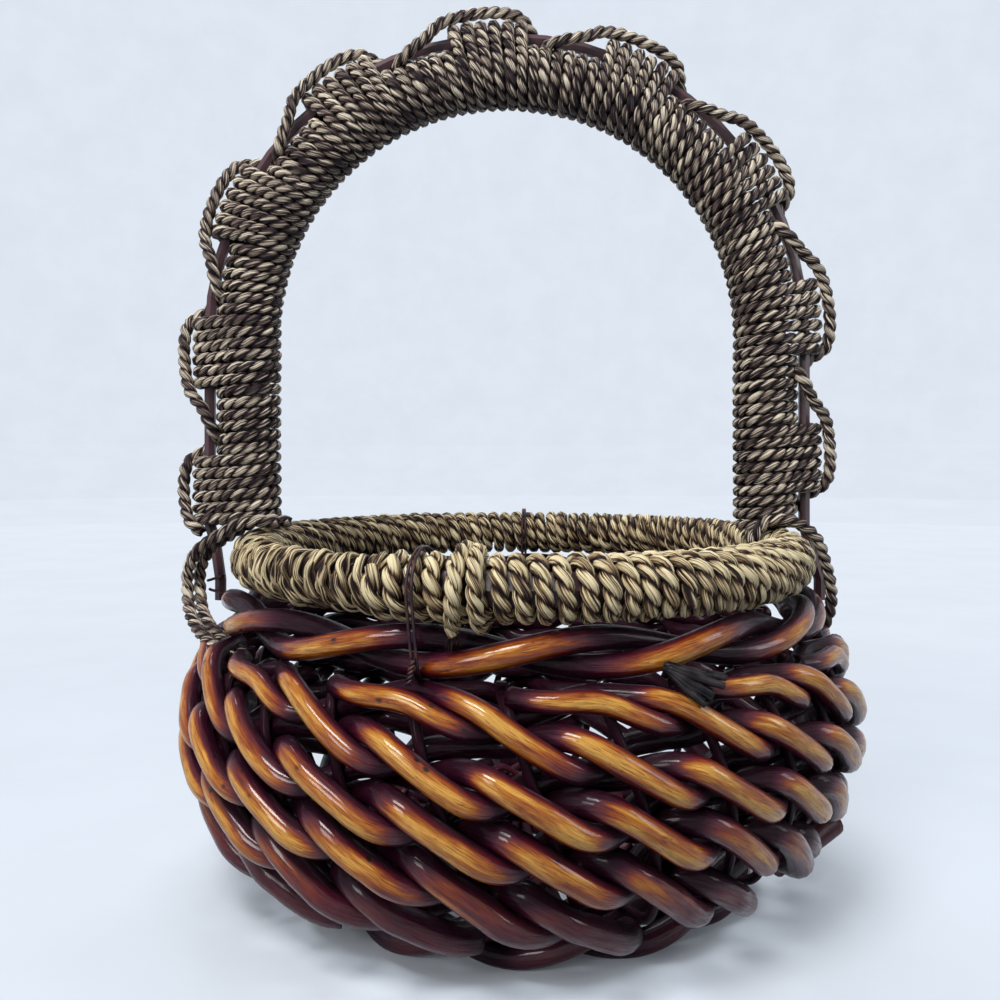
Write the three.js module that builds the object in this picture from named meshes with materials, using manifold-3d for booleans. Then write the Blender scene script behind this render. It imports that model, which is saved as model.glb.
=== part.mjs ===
// A rattan basket: tapering rods woven round leaning stakes, twisted border and foot rods,
// a rope-wound rim hoop and an arched handle that is wound in narrow and wide blocks.
// Millimetres, +Z up. It is drawn about the bowl's axis, with the front at -Y and the handle's arch in
// the XZ plane, and then moved so that the origin is on the floor under the middle of its box.
import * as THREE from "three";
import { mergeVertices } from "three/addons/utils/BufferGeometryUtils.js";
import Module from "manifold-3d";

const wasm = await Module();
wasm.setup();

// Clearances
const TOUCH_GAP = 0.3; // between faces that touch on the real basket
const WEAVE_GAP = 0.45; // between the woven rods, which lie at a slant on each other

// Bowl
const FOOT_RADIUS = 88; // outer side of the foot ring
const BELLY_RADIUS = 127;
const BELLY_HEIGHT = 66;
const NECK_RADIUS = 109;
const NECK_DROP = 11; // from the rim's middle down to the neck

// Spokes, whose turned-up ends are the stakes
const SPOKE_COUNT = 13;
const SPOKE_THICKNESS = 3.2;
const STAKE_BEND = 9; // height in which a spoke turns up into a stake
const STAKE_LEAN = 1.65; // degrees that a stake leans from one row of strokes to the next
const SLATH_HALF = 16; // the crossed spokes lie parallel this far from the middle
const FAN_RADIUS = 38; // where the spokes have spread to their own directions

// Woven rods
const ROW_SPACING = 9.3; // the rows share what height there is, as near to this as they can
const TOP_ROW_DROP = 2.9; // from the border's underside to the middle of the top row
const BOTTOM_ROW_RISE = 9.4; // from the foot ring's top to the middle of the bottom row
const FIRST_STROKE = 10.3; // degrees from the front to the middle of a stroke in the top row
const STROKE_RISE = 6.2; // half of what a stroke falls by while it is outside
const ROD_TIP = 6.6;
const ROD_BUTT = 9.2;
const ROD_STEPS = 6; // rings in each wave
const ROD_SIDES = 5;

// Twisted border and foot
const TWIST_STROKES = 13;
const BORDER_THICKNESS = 7.4;
const FOOT_THICKNESS = 8.2;
const TWIST_STEPS = 8; // rings in each full twist
const TWIST_SIDES = 5;

// Base weaver, a flat reed
const REED_WIDTH = 6;
const REED_THICKNESS = 1.6;
const REED_PITCH = 7.6;
const REED_TURNS = 3;

// Rim
const RIM_HALF_WIDTH = 98.5; // hoop's centre line along X, drawn in by the handle
const RIM_HALF_DEPTH = 107.5; // hoop's centre line along Y
const RIM_HEIGHT = 119;
const HOOP_THICKNESS = 11.2;
const ROPE_THICKNESS = 4.4;
const RIM_TURN_PITCH = 7.8;
const RIM_SIDES = 6;
const KNOT_ANGLE = -8.5; // degrees from the front
const KNOT_LENGTH = 10;
const KNOT_SWELL = 2.2; // how far the knot stands over the winding
const KNOT_TAIL = 11; // loose end below the knot

// Handle
const HANDLE_CENTRE = -5; // the arch's middle along X
const ARCH_RADIUS = 100;
const SPRING_HEIGHT = 203; // where the legs end and the arch begins
const CORE_THICKNESS = 15.6;
const CORE_SIDES = 8;
const RIB_THICKNESS = 4.4;
const HANDLE_TURN_PITCH = 5.8;
const WIDE_TURNS = 4; // turns round core and rib
const NARROW_TURNS = 5; // turns round the core alone
const HANDLE_SIDES = 8;
const SCALLOP_THICKNESS = 4.2;
const LASHING_THICKNESS = 4.4;
const TIE_THICKNESS = 1.2;

// Sizes that follow
const STAKE_COUNT = 2 * SPOKE_COUNT;
const stakeStep = 360 / STAKE_COUNT;
const strokeStep = 2 * stakeStep;
const wave = strokeStep + stakeStep + STAKE_LEAN; // degrees from one stroke of a rod to its next
const neckHeight = RIM_HEIGHT - NECK_DROP;
const spokeRadius = SPOKE_THICKNESS / 2;
const rimRadius = HOOP_THICKNESS / 2 + TOUCH_GAP + ROPE_THICKNESS;
const rimFloor = RIM_HEIGHT - rimRadius;
const rimTop = RIM_HEIGHT + rimRadius;
const narrowRadius = CORE_THICKNESS / 2 + TOUCH_GAP + ROPE_THICKNESS;
const ribOffset = narrowRadius + 1.4 * TOUCH_GAP + RIB_THICKNESS / 2;
const wideReach = ribOffset + RIB_THICKNESS / 2 + TOUCH_GAP + ROPE_THICKNESS;

const rad = THREE.MathUtils.degToRad;
const UP = new THREE.Vector3(0, 0, 1);

// Point at an angle from the front, counted towards +X.
function polar(degrees, radius, height) {
  const a = rad(degrees);
  return new THREE.Vector3(radius * Math.sin(a), -radius * Math.cos(a), height);
}

// Radius of the bowl's outer side at a height.
function bowlRadius(height) {
  if (height < BELLY_HEIGHT) {
    const share = (BELLY_HEIGHT - height) / BELLY_HEIGHT;
    return BELLY_RADIUS - (BELLY_RADIUS - FOOT_RADIUS) * share ** 2;
  }
  const share = (height - BELLY_HEIGHT) / (neckHeight - BELLY_HEIGHT);
  return BELLY_RADIUS - (BELLY_RADIUS - NECK_RADIUS) * share ** 1.4;
}

// A solid lofted through rings of equal size; the rings run counter-clockwise seen along the path.
function loft(rings, closed = false) {
  const sides = rings[0].length;
  const position = rings.flat().flatMap((p) => [p.x, p.y, p.z]);
  const index = [];
  const last = closed ? rings.length : rings.length - 1;
  for (let i = 0; i < last; i++) {
    const a = i * sides;
    const b = ((i + 1) % rings.length) * sides;
    for (let j = 0; j < sides; j++) {
      const k = (j + 1) % sides;
      index.push(a + j, a + k, b + k, a + j, b + k, b + j);
    }
  }
  if (!closed) {
    const end = (rings.length - 1) * sides;
    for (let j = 1; j < sides - 1; j++) {
      index.push(0, j + 1, j);
      index.push(end, end + j, end + j + 1);
    }
  }
  const geometry = new THREE.BufferGeometry();
  geometry.setAttribute("position", new THREE.Float32BufferAttribute(position, 3));
  geometry.setIndex(index);
  return geometry;
}

// The frame of a path at one of its points; the side vector stays close to what sideAt gives.
function frameAt(points, i, sideAt, closed) {
  const n = points.length;
  const before = closed ? points[(i + n - 1) % n] : points[Math.max(i - 1, 0)];
  const after = closed ? points[(i + 1) % n] : points[Math.min(i + 1, n - 1)];
  const tangent = after.clone().sub(before).normalize();
  const side = sideAt(points[i], i).clone();
  side.addScaledVector(tangent, -side.dot(tangent)).normalize();
  return { at: points[i], tangent, side, across: tangent.clone().cross(side) };
}

// A round tube along points; radiusAt gives each ring's radius.
function tube(points, radiusAt, sides, sideAt, closed = false) {
  const rings = points.map((_, i) => {
    const f = frameAt(points, i, sideAt, closed);
    return Array.from({ length: sides }, (_, j) => {
      const a = ((j + 0.5) * 2 * Math.PI) / sides;
      return f.at
        .clone()
        .addScaledVector(f.side, radiusAt(i) * Math.cos(a))
        .addScaledVector(f.across, radiusAt(i) * Math.sin(a));
    });
  });
  return loft(rings, closed);
}

const outward = (p) => new THREE.Vector3(p.x, p.y, 0);
const upward = () => UP;
const frontward = () => new THREE.Vector3(0, -1, 0);

function solidOf(geometry) {
  const bare = new THREE.BufferGeometry();
  bare.setAttribute("position", geometry.getAttribute("position"));
  bare.setIndex(geometry.index);
  const merged = mergeVertices(bare, 1e-4);
  return new wasm.Manifold(
    new wasm.Mesh({
      numProp: 3,
      vertProperties: merged.attributes.position.array,
      triVerts: new Uint32Array(merged.index.array),
    }),
  );
}

function geometryOf(solid) {
  const mesh = solid.getMesh();
  const geometry = new THREE.BufferGeometry();
  geometry.setAttribute("position", new THREE.BufferAttribute(mesh.vertProperties, 3));
  geometry.setIndex(new THREE.BufferAttribute(mesh.triVerts, 1));
  return geometry;
}

// Shortest vector from segment cd to segment ab, with the places along both.
function betweenSegments(a, b, c, d) {
  const u = b.clone().sub(a);
  const v = d.clone().sub(c);
  const w = a.clone().sub(c);
  const uu = u.dot(u);
  const uv = u.dot(v);
  const vv = v.dot(v);
  const uw = u.dot(w);
  const vw = v.dot(w);
  const det = uu * vv - uv * uv;
  let s = det > 1e-9 ? THREE.MathUtils.clamp((uv * vw - vv * uw) / det, 0, 1) : 0;
  const t = THREE.MathUtils.clamp((uv * s + vw) / vv, 0, 1);
  s = THREE.MathUtils.clamp((uv * t - uw) / uu, 0, 1);
  return { apart: w.addScaledVector(u, s).addScaledVector(v, -t), s, t };
}

// Material palette
const looks = {
  rod: { color: 0x7a3d18, roughness: 0.35, metalness: 0 },
  border: { color: 0x6b2a1a, roughness: 0.35, metalness: 0 },
  stake: { color: 0x3a1a20, roughness: 0.5, metalness: 0 },
  cane: { color: 0x2c141c, roughness: 0.45, metalness: 0 },
  rope: { color: 0x8a7a52, roughness: 0.9, metalness: 0 },
  straw: { color: 0xa8925a, roughness: 0.9, metalness: 0 },
  wire: { color: 0x2a2024, roughness: 0.35, metalness: 0.8 },
};

const basket = new THREE.Group();

function add(name, geometry, look) {
  const mesh = new THREE.Mesh(geometry, new THREE.MeshStandardMaterial(looks[look]));
  mesh.name = name;
  basket.add(mesh);
}

const numbered = (name, i) => `${name}_${String(i + 1).padStart(2, "0")}`;

// Twisted rings: one rod laid twice round, crossing itself once for each stroke. Its two passes lie
// over each other at the seat angle and at each stroke from there.
const twistTurn = (thickness) => (thickness + 1.5 * WEAVE_GAP) / 2;

function twistPoints(thickness, outerRadius, middleHeight, seatAngle) {
  const turnRadius = twistTurn(thickness);
  const middle = outerRadius - thickness / 2 - turnRadius;
  const count = TWIST_STROKES * TWIST_STEPS;
  return Array.from({ length: count }, (_, i) => {
    const twist = (2 * Math.PI * i) / TWIST_STEPS;
    const angle = seatAngle + stakeStep + (720 * i) / count;
    return polar(
      angle,
      middle + turnRadius * Math.cos(twist),
      middleHeight + turnRadius * Math.sin(twist),
    );
  });
}

const tieStand = TIE_THICKNESS / 2 + 2 * TOUCH_GAP; // from what a tie goes round to its middle
const twistHalf = (thickness) => thickness / 2 + twistTurn(thickness);
const flatShare = Math.cos(Math.PI / TWIST_SIDES); // a facet's distance from the middle of its rod
const footCut = FOOT_THICKNESS / 10;
const footHeight = twistHalf(FOOT_THICKNESS) - footCut;
const footTop = footHeight + twistTurn(FOOT_THICKNESS) + (flatShare * FOOT_THICKNESS) / 2;
const borderHeight = rimFloor - TOUCH_GAP - twistHalf(BORDER_THICKNESS);
const borderFloor = borderHeight - twistHalf(BORDER_THICKNESS);
const borderMiddle = bowlRadius(borderHeight) - twistHalf(BORDER_THICKNESS);
const topRowHeight = borderFloor - TOP_ROW_DROP;
const rowsHeight = topRowHeight - footTop - BOTTOM_ROW_RISE;
const rowCount = Math.round(rowsHeight / ROW_SPACING) + 1;
const rowDrop = rowsHeight / (rowCount - 1);

function stakeAngle(stake, height) {
  return (
    FIRST_STROKE + stake * stakeStep + (STAKE_LEAN * (topRowHeight - height)) / rowDrop
  );
}

const baseHeight = footTop + TOUCH_GAP + spokeRadius * Math.SQRT1_2;
const stakeFloor = baseHeight + STAKE_BEND;
const stakeTop = borderFloor - TOUCH_GAP;
const footTurn = stakeAngle(0, stakeFloor);
const borderPoints = twistPoints(
  BORDER_THICKNESS,
  bowlRadius(borderHeight),
  borderHeight,
  stakeAngle(0, stakeTop),
);
const footPoints = twistPoints(FOOT_THICKNESS, FOOT_RADIUS, footHeight, footTurn);

function addTwists() {
  const borderTube = tube(borderPoints, () => BORDER_THICKNESS / 2, TWIST_SIDES, upward, true);
  add("border_rod", borderTube, "border");
  const size = 4 * FOOT_RADIUS;
  const floor = new THREE.BoxGeometry(size, size, size).translate(0, 0, -size / 2);
  const footTube = tube(footPoints, () => FOOT_THICKNESS / 2, TWIST_SIDES, upward, true);
  add("foot_rod", geometryOf(solidOf(footTube).subtract(solidOf(floor))), "border");
}

// Rods
const rodEnds = { first: -0.3 * wave, last: (rowCount - 1) * wave + 0.25 * wave };
const rodAngles = Array.from(
  { length: Math.round(((rodEnds.last - rodEnds.first) / wave) * ROD_STEPS) + 1 },
  (_, i) => rodEnds.first + (i * wave) / ROD_STEPS,
);

function rodRadius(angle) {
  const share = (angle - rodEnds.first) / (rodEnds.last - rodEnds.first);
  return THREE.MathUtils.lerp(ROD_TIP, ROD_BUTT, THREE.MathUtils.clamp(share, 0, 1)) / 2;
}

const rodTurn = (i) => FIRST_STROKE + rodAngles[i];

const rodRadiusAtHeight = (height) =>
  rodRadius(((topRowHeight - height) / rowDrop) * wave);

// A stake stands behind the strokes that pass over it.
function stakeRadius(height) {
  return bowlRadius(height) - 2 * rodRadiusAtHeight(height) - spokeRadius - WEAVE_GAP;
}

// A stake leans up the wall, and its tip turns in under the border rod.
function stakePoints(stake, steps) {
  const bend = stakeTop - 2.4 * SPOKE_THICKNESS;
  const wall = Array.from({ length: steps - 2 }, (_, i) => {
    const height = THREE.MathUtils.lerp(stakeFloor, bend, i / (steps - 3));
    return polar(stakeAngle(stake, height), stakeRadius(height), height);
  });
  const tip = [stakeTop - SPOKE_THICKNESS, stakeTop].map((height) =>
    polar(stakeAngle(stake, stakeTop), borderMiddle, height),
  );
  return [...wall, ...tip];
}

// Wire ties go round the rim and the border rod, each beside a stake.
const TIE_STAKES = [-2, 12];
const TIE_STEPS = 14;

function tieAngle(stake) {
  const aside = spokeRadius + TIE_THICKNESS / 2 + 4 * TOUCH_GAP;
  return stakeAngle(stake, stakeTop) + THREE.MathUtils.radToDeg(aside / borderMiddle);
}

function tiePoints(stake) {
  const angle = tieAngle(stake);
  const direction = polar(angle, 1, 0);
  const reach = Math.hypot(direction.x / RIM_HALF_WIDTH, direction.y / RIM_HALF_DEPTH);
  const circles = [
    { middle: 1 / reach, height: RIM_HEIGHT, radius: rimRadius + tieStand },
    { middle: borderMiddle, height: borderHeight, radius: twistHalf(BORDER_THICKNESS) + tieStand },
  ];
  return Array.from({ length: TIE_STEPS }, (_, k) => {
    const a = (2 * Math.PI * k) / TIE_STEPS;
    const support = (c) => c.middle * Math.cos(a) + c.height * Math.sin(a) + c.radius;
    const c = support(circles[0]) > support(circles[1]) ? circles[0] : circles[1];
    return polar(angle, c.middle + c.radius * Math.cos(a), c.height + c.radius * Math.sin(a));
  });
}

// Spokes
// Seven spokes cross six at the middle of the base, where each group lies side by side.
const firstGroup = Math.ceil(SPOKE_COUNT / 2);

function spokeGroup(spoke) {
  const lower = spoke < firstGroup;
  const middle = lower ? (firstGroup - 1) / 2 : (firstGroup + SPOKE_COUNT - 1) / 2;
  const lift = lower ? 0 : SPOKE_THICKNESS + WEAVE_GAP;
  return { middle, lift, offset: (spoke - middle) * (SPOKE_THICKNESS + WEAVE_GAP) };
}

// Half of a spoke, from the middle of the base out, and up the wall as a stake.
function spokeHalf(spoke, end) {
  const { middle, lift, offset } = spokeGroup(spoke);
  const groupAngle = footTurn + middle * stakeStep + 180 * end;
  const slot = end ? 2 * middle - spoke : spoke;
  const angle = footTurn + slot * stakeStep + 180 * end;
  const aside = polar(groupAngle + 90, end ? -offset : offset, 0);
  const inner = [0.25, 0.85].map((share) =>
    polar(groupAngle, share * SLATH_HALF, baseHeight + lift).add(aside),
  );
  const base = [
    polar(angle, FAN_RADIUS, baseHeight),
    polar(angle, 0.62 * FOOT_RADIUS, baseHeight),
    polar(angle, 0.86 * FOOT_RADIUS, baseHeight),
    polar(angle, stakeRadius(stakeFloor) - 5, baseHeight + 2.2),
  ];
  return [...inner, ...base, ...stakePoints(slot + end * SPOKE_COUNT, 7)];
}

function addSpokes() {
  for (let spoke = 0; spoke < SPOKE_COUNT; spoke++) {
    const points = [...spokeHalf(spoke, 1).reverse(), ...spokeHalf(spoke, 0)];
    const along = spokeGroup(spoke).middle * stakeStep + footTurn;
    const across = polar(along + 90, 1, 0);
    add(numbered("spoke", spoke), tube(points, () => spokeRadius, 4, () => across), "stake");
  }
}

// The flat reed that fills the base goes over and under the spokes in turn.
function addBaseReed() {
  const start = FAN_RADIUS + REED_WIDTH / 2;
  const count = Math.round(REED_TURNS * STAKE_COUNT);
  const half = REED_THICKNESS / 2;
  const clear = spokeRadius + half + WEAVE_GAP;
  const rings = Array.from({ length: count + 1 }, (_, i) => {
    const radius = start + (REED_PITCH * i) / STAKE_COUNT;
    const span = radius * rad(stakeStep);
    const lift = (clear * span) / Math.sqrt(span ** 2 - 4 * clear ** 2);
    const side = (i + Math.floor(i / STAKE_COUNT)) % 2 ? 1 : -1;
    const angle = footTurn + i * stakeStep;
    const corner = (out, up) => polar(angle, radius + out, baseHeight + side * lift + up);
    const w = REED_WIDTH / 2;
    return [corner(w, -half), corner(-w, -half), corner(-w, half), corner(w, half)];
  });
  add("base_reed", loft(rings), "stake");
}

// The rod's first course: outside at each stroke, inside between them.
function rodStart(angle) {
  const phase = (2 * Math.PI * angle) / wave;
  const radius = rodRadius(angle);
  const fall = (rowDrop * angle) / wave + STROKE_RISE * Math.sin(phase);
  const height = topRowHeight - fall;
  const swing = (2 * radius + SPOKE_THICKNESS + 2 * WEAVE_GAP) / 1.7;
  const inward = swing * (1 - Math.tanh(1.2 * Math.cos(phase)) / Math.tanh(1.2));
  return { radius: bowlRadius(height) - radius - inward, height };
}

// The rods press on each other and on the stakes until all of them clear: each point moves in or
// out and up or down, and every rod takes the same course, turned by one stroke.
function settleRods() {
  const course = rodAngles.map(rodStart);
  const blocks = Array.from({ length: STAKE_COUNT }, (_, i) => ({
    points: spokeHalf(i % SPOKE_COUNT, Math.floor(i / SPOKE_COUNT)).slice(4),
    radius: spokeRadius,
  }));
  const tieRoom = tieStand + TIE_THICKNESS / 2 + TOUCH_GAP;
  blocks.push({ points: [...borderPoints, borderPoints[0]], radius: BORDER_THICKNESS / 2 + tieRoom });
  blocks.push({ points: [...footPoints, footPoints[0]], radius: FOOT_THICKNESS / 2 });
  for (let stake = 0; stake < STAKE_COUNT; stake += 2) {
    const tie = tiePoints(stake);
    blocks.push({ points: [...tie, tie[0]], radius: TIE_THICKNESS / 2 });
  }
  const rounds = 260;
  let worst = 0;
  for (let round = 0; round < rounds; round++) {
    const pushes = course.map(() => ({ out: 0, up: 0, count: 0 }));
    worst = Infinity;
    const own = course.map((c, i) => polar(rodTurn(i), c.radius, c.height));
    const press = (i, other, j, otherRadius, share) => {
      const near = 2.2 * ROD_BUTT + (BELLY_RADIUS * rad(wave)) / ROD_STEPS;
      if (own[i].distanceToSquared(other[j]) > near * near) return;
      const hit = betweenSegments(own[i], own[i + 1], other[j], other[j + 1]);
      const between = THREE.MathUtils.lerp(rodAngles[i], rodAngles[i + 1], hit.s);
      const distance = hit.apart.length();
      const lack = rodRadius(between) + otherRadius(hit.t) + WEAVE_GAP - distance;
      worst = Math.min(worst, distance - rodRadius(between) - otherRadius(hit.t));
      if (lack <= 0) return;
      const direction = hit.apart.divideScalar(distance);
      const away = polar(FIRST_STROKE + between, 1, 0).dot(direction);
      [
        [i, 1 - hit.s],
        [i + 1, hit.s],
      ].forEach(([k, weight]) => {
        pushes[k].out += share * lack * weight * away;
        pushes[k].up += share * lack * weight * direction.z;
        pushes[k].count += weight;
      });
    };
    for (let turn = 1; turn < SPOKE_COUNT; turn++) {
      const other = course.map((c, i) =>
        polar(rodTurn(i) + turn * strokeStep, c.radius, c.height),
      );
      for (let i = 0; i < own.length - 1; i++) {
        for (let j = 0; j < own.length - 1; j++) {
          const at = (t) => rodRadius(THREE.MathUtils.lerp(rodAngles[j], rodAngles[j + 1], t));
          press(i, other, j, at, 0.55);
        }
      }
    }
    blocks.forEach(({ points, radius }) => {
      for (let i = 0; i < own.length - 1; i++) {
        for (let j = 0; j < points.length - 1; j++) press(i, points, j, () => radius, 1);
      }
    });
    const ease = round < rounds - 60 ? 0.25 : 0;
    const moved = pushes.map((p) => ({
      out: p.out / Math.max(1, p.count),
      up: p.up / Math.max(1, p.count),
    }));
    course.forEach((c, i) => {
      const a = moved[Math.max(i - 1, 0)];
      const b = moved[Math.min(i + 1, moved.length - 1)];
      c.radius += (1 - ease) * moved[i].out + (ease * (a.out + b.out)) / 2;
      c.height += (1 - ease) * moved[i].up + (ease * (a.up + b.up)) / 2;
    });
  }
  console.log("least gap between the woven rods", worst.toFixed(2));
  return course;
}

const rodCourse = settleRods();

function addRods() {
  for (let rod = 0; rod < SPOKE_COUNT; rod++) {
    const points = rodCourse.map((c, i) =>
      polar(rodTurn(i) + rod * strokeStep, c.radius, c.height),
    );
    add(
      numbered("weaver_rod", rod),
      tube(points, (i) => rodRadius(rodAngles[i]), ROD_SIDES, outward),
      "rod",
    );
  }
}

// Wound rope: a skin whose ridge runs as one screw along a path. stationAt gives the path's frame
// at a place along it, sectionAt the outer side of a turn in the plane across the path.
function woundSkin(turns, pitch, sides, stationAt, sectionAt) {
  const positions = [];
  const index = [];
  const push = (place, turn, j, sunk) => {
    const station = stationAt(place);
    const { out, across } = sectionAt(turn, (2 * Math.PI * j) / sides, sunk);
    const p = station.at
      .clone()
      .addScaledVector(station.side, out)
      .addScaledVector(station.across, across);
    positions.push(p.x, p.y, p.z);
    return positions.length / 3 - 1;
  };
  const steps = turns * sides;
  const start = Array.from({ length: sides }, (_, j) => push(0, 0, j, true));
  const crests = [];
  const valleys = [];
  for (let j = 0; j <= steps - sides; j++) {
    const turn = Math.floor(j / sides);
    crests.push(push((pitch * (j + sides * 0.25)) / sides, turn, j % sides, false));
    valleys.push(push((pitch * (j + sides * 0.75)) / sides, turn, j % sides, true));
  }
  const finish = Array.from({ length: sides }, (_, j) => push(pitch * turns, turns - 1, j, true));
  const quad = (a, b, c, d) => index.push(a, b, c, a, c, d);
  for (let j = 0; j < sides; j++) {
    quad(start[j], start[(j + 1) % sides], crests[j + 1], crests[j]);
  }
  index.push(start[0], crests[0], valleys[0], start[0], valleys[0], crests[sides]);
  for (let j = 0; j < steps - sides; j++) {
    quad(crests[j], crests[j + 1], valleys[j + 1], valleys[j]);
    if (j + sides < steps - sides) {
      quad(valleys[j], valleys[j + 1], crests[j + 1 + sides], crests[j + sides]);
    }
  }
  const n = steps - sides;
  for (let j = 0; j < sides; j++) {
    quad(valleys[n - sides + j], valleys[n - sides + j + 1], finish[(j + 1) % sides], finish[j]);
  }
  index.push(valleys[n - sides], finish[0], crests[n], crests[n], finish[0], valleys[n]);
  for (let j = 1; j < sides - 1; j++) {
    index.push(start[0], start[j + 1], start[j]);
    index.push(finish[0], finish[j], finish[j + 1]);
  }
  const geometry = new THREE.BufferGeometry();
  geometry.setAttribute("position", new THREE.Float32BufferAttribute(positions, 3));
  geometry.setIndex(index);
  return geometry;
}

const VALLEY = 0.3 * ROPE_THICKNESS; // how deep the winding dips between two turns

// Rim
const rimCurve = new THREE.EllipseCurve(
  0,
  0,
  RIM_HALF_WIDTH,
  RIM_HALF_DEPTH,
  rad(KNOT_ANGLE - 90),
  rad(KNOT_ANGLE + 270),
);
const rimLength = rimCurve.getLength();
const HOOP_STEPS = 28;

function rimStation(place) {
  const u = THREE.MathUtils.euclideanModulo(place / rimLength, 1);
  const at = rimCurve.getPointAt(u);
  const along = rimCurve.getTangentAt(u);
  const tangent = new THREE.Vector3(along.x, along.y, 0);
  return {
    at: new THREE.Vector3(at.x, at.y, RIM_HEIGHT),
    tangent,
    side: UP,
    across: tangent.clone().cross(UP),
  };
}

const hoopPoints = Array.from(
  { length: HOOP_STEPS },
  (_, i) => rimStation((rimLength * i) / HOOP_STEPS).at,
);

const round = (radius, angle) => ({
  out: radius * Math.cos(angle),
  across: radius * Math.sin(angle),
});

function addRim() {
  add("rim_hoop", tube(hoopPoints, () => HOOP_THICKNESS / 2, RIM_SIDES, upward, true), "cane");
  const bore = solidOf(
    tube(hoopPoints, () => HOOP_THICKNESS / 2 + TOUCH_GAP, RIM_SIDES, upward, true),
  );
  const wound = rimLength - KNOT_LENGTH;
  const turns = Math.round(wound / RIM_TURN_PITCH);
  const outer = woundSkin(
    turns,
    wound / turns,
    RIM_SIDES,
    (place) => rimStation(place + KNOT_LENGTH / 2),
    (_, angle, sunk) => round(rimRadius - (sunk ? VALLEY : 0), angle),
  );
  add("rim_winding", geometryOf(solidOf(outer).subtract(bore)), "straw");
  addKnot(bore);
}

// The overlap knot closes the winding, and its loose end hangs in front of the border.
function addKnot(bore) {
  const half = KNOT_LENGTH / 2 - TOUCH_GAP;
  const places = [-half, -0.4 * half, 0.4 * half, half];
  const swell = [0, KNOT_SWELL, KNOT_SWELL, 0];
  const stations = places.map(rimStation);
  const points = stations.map((s) => s.at);
  const sleeve = tube(points, (i) => rimRadius - VALLEY + swell[i], 8, upward);
  const front = stations[1].at.clone().setZ(0).normalize();
  const reach = rimRadius + KNOT_SWELL - ROPE_THICKNESS;
  const tail = [0, 0.5, 1].map((share) =>
    stations[1].at
      .clone()
      .addScaledVector(front, reach * 0.88 + share)
      .setZ(RIM_HEIGHT - 0.4 * reach - share * (KNOT_TAIL + 0.6 * reach)),
  );
  const loose = tube(tail, () => 0.45 * ROPE_THICKNESS, 6, outward);
  add("rim_knot", geometryOf(solidOf(sleeve).add(solidOf(loose)).subtract(bore)), "straw");
}

// Handle
const handleFoot = rimTop + TOUCH_GAP;
const legLength = SPRING_HEIGHT - handleFoot;
const archLength = Math.PI * ARCH_RADIUS;
const handleLength = 2 * legLength + archLength;
const ARCH_STEPS = 24;

// A place along the handle, from the left foot over the arch to the right foot.
function handleStation(place) {
  const bend = THREE.MathUtils.clamp((place - legLength) / ARCH_RADIUS, 0, Math.PI);
  const spare = place - legLength - bend * ARCH_RADIUS;
  const tangent = new THREE.Vector3(Math.sin(bend), 0, Math.cos(bend));
  const side = new THREE.Vector3(Math.cos(bend), 0, -Math.sin(bend));
  const at = new THREE.Vector3(HANDLE_CENTRE, 0, SPRING_HEIGHT)
    .addScaledVector(side, -ARCH_RADIUS)
    .addScaledVector(tangent, spare);
  return { at, tangent, side, across: tangent.clone().cross(side) };
}

// Points that follow the handle at a distance outside its centre line.
function handlePoints(offset, over = 0) {
  const places = [-over];
  for (let i = 0; i <= ARCH_STEPS; i++) places.push(legLength + (archLength * i) / ARCH_STEPS);
  places.push(handleLength + over);
  return places.map((place) => {
    const station = handleStation(place);
    return station.at.addScaledVector(station.side, -offset);
  });
}

const handleSide = (p) => {
  const lift = Math.max(p.z - SPRING_HEIGHT, 0);
  return new THREE.Vector3(HANDLE_CENTRE - p.x, 0, -lift);
};

// The rib leaves the winding at each foot and runs down outside the rim and the border.
function ribPoints() {
  const course = handlePoints(ribOffset);
  const borderX = bowlRadius(borderHeight) + RIB_THICKNESS / 2 + 2 * TOUCH_GAP;
  const rimX = RIM_HALF_WIDTH + rimRadius + RIB_THICKNESS / 2 + 3 * TOUCH_GAP;
  const tail = (top) => {
    const sign = Math.sign(top.x);
    const beside = Math.max(Math.abs(top.x) - 2, rimX);
    return [
      new THREE.Vector3(sign * beside, 0, RIM_HEIGHT + 0.4 * rimRadius),
      new THREE.Vector3(sign * borderX, 0, rimFloor),
      new THREE.Vector3(sign * borderX, 0, borderHeight),
    ];
  };
  return [...tail(course[0]).reverse(), ...course, ...tail(course.at(-1))];
}

function handleSection(turn, angle, sunk) {
  const dip = sunk ? VALLEY : 0;
  const wide = turn % (WIDE_TURNS + NARROW_TURNS) < WIDE_TURNS;
  const rope = wideReach - ribOffset - dip;
  const overRib = -ribOffset * Math.cos(angle) + rope;
  if (!wide || overRib < narrowRadius - dip) return round(narrowRadius - dip, angle);
  const aboutRib = round(rope, angle);
  return { out: aboutRib.out - ribOffset, across: aboutRib.across };
}

const handleTurns = Math.round(handleLength / HANDLE_TURN_PITCH);
const handlePitch = handleLength / handleTurns;

function addHandle() {
  const core = handlePoints(0);
  const coreTube = tube(core, () => CORE_THICKNESS / 2, CORE_SIDES, handleSide);
  add("handle_core", coreTube, "cane");
  const rib = ribPoints();
  add("handle_rib", tube(rib, () => RIB_THICKNESS / 2, 6, handleSide), "cane");
  const outer = woundSkin(handleTurns, handlePitch, HANDLE_SIDES, handleStation, handleSection);
  const coreBore = tube(
    handlePoints(0, 5),
    () => CORE_THICKNESS / 2 + TOUCH_GAP,
    CORE_SIDES,
    handleSide,
  );
  const ribBore = tube(
    handlePoints(ribOffset, 5),
    () => RIB_THICKNESS / 2 + TOUCH_GAP,
    6,
    handleSide,
  );
  const winding = solidOf(outer).subtract(solidOf(coreBore)).subtract(solidOf(ribBore));
  add("handle_winding", geometryOf(winding), "rope");
}

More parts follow.
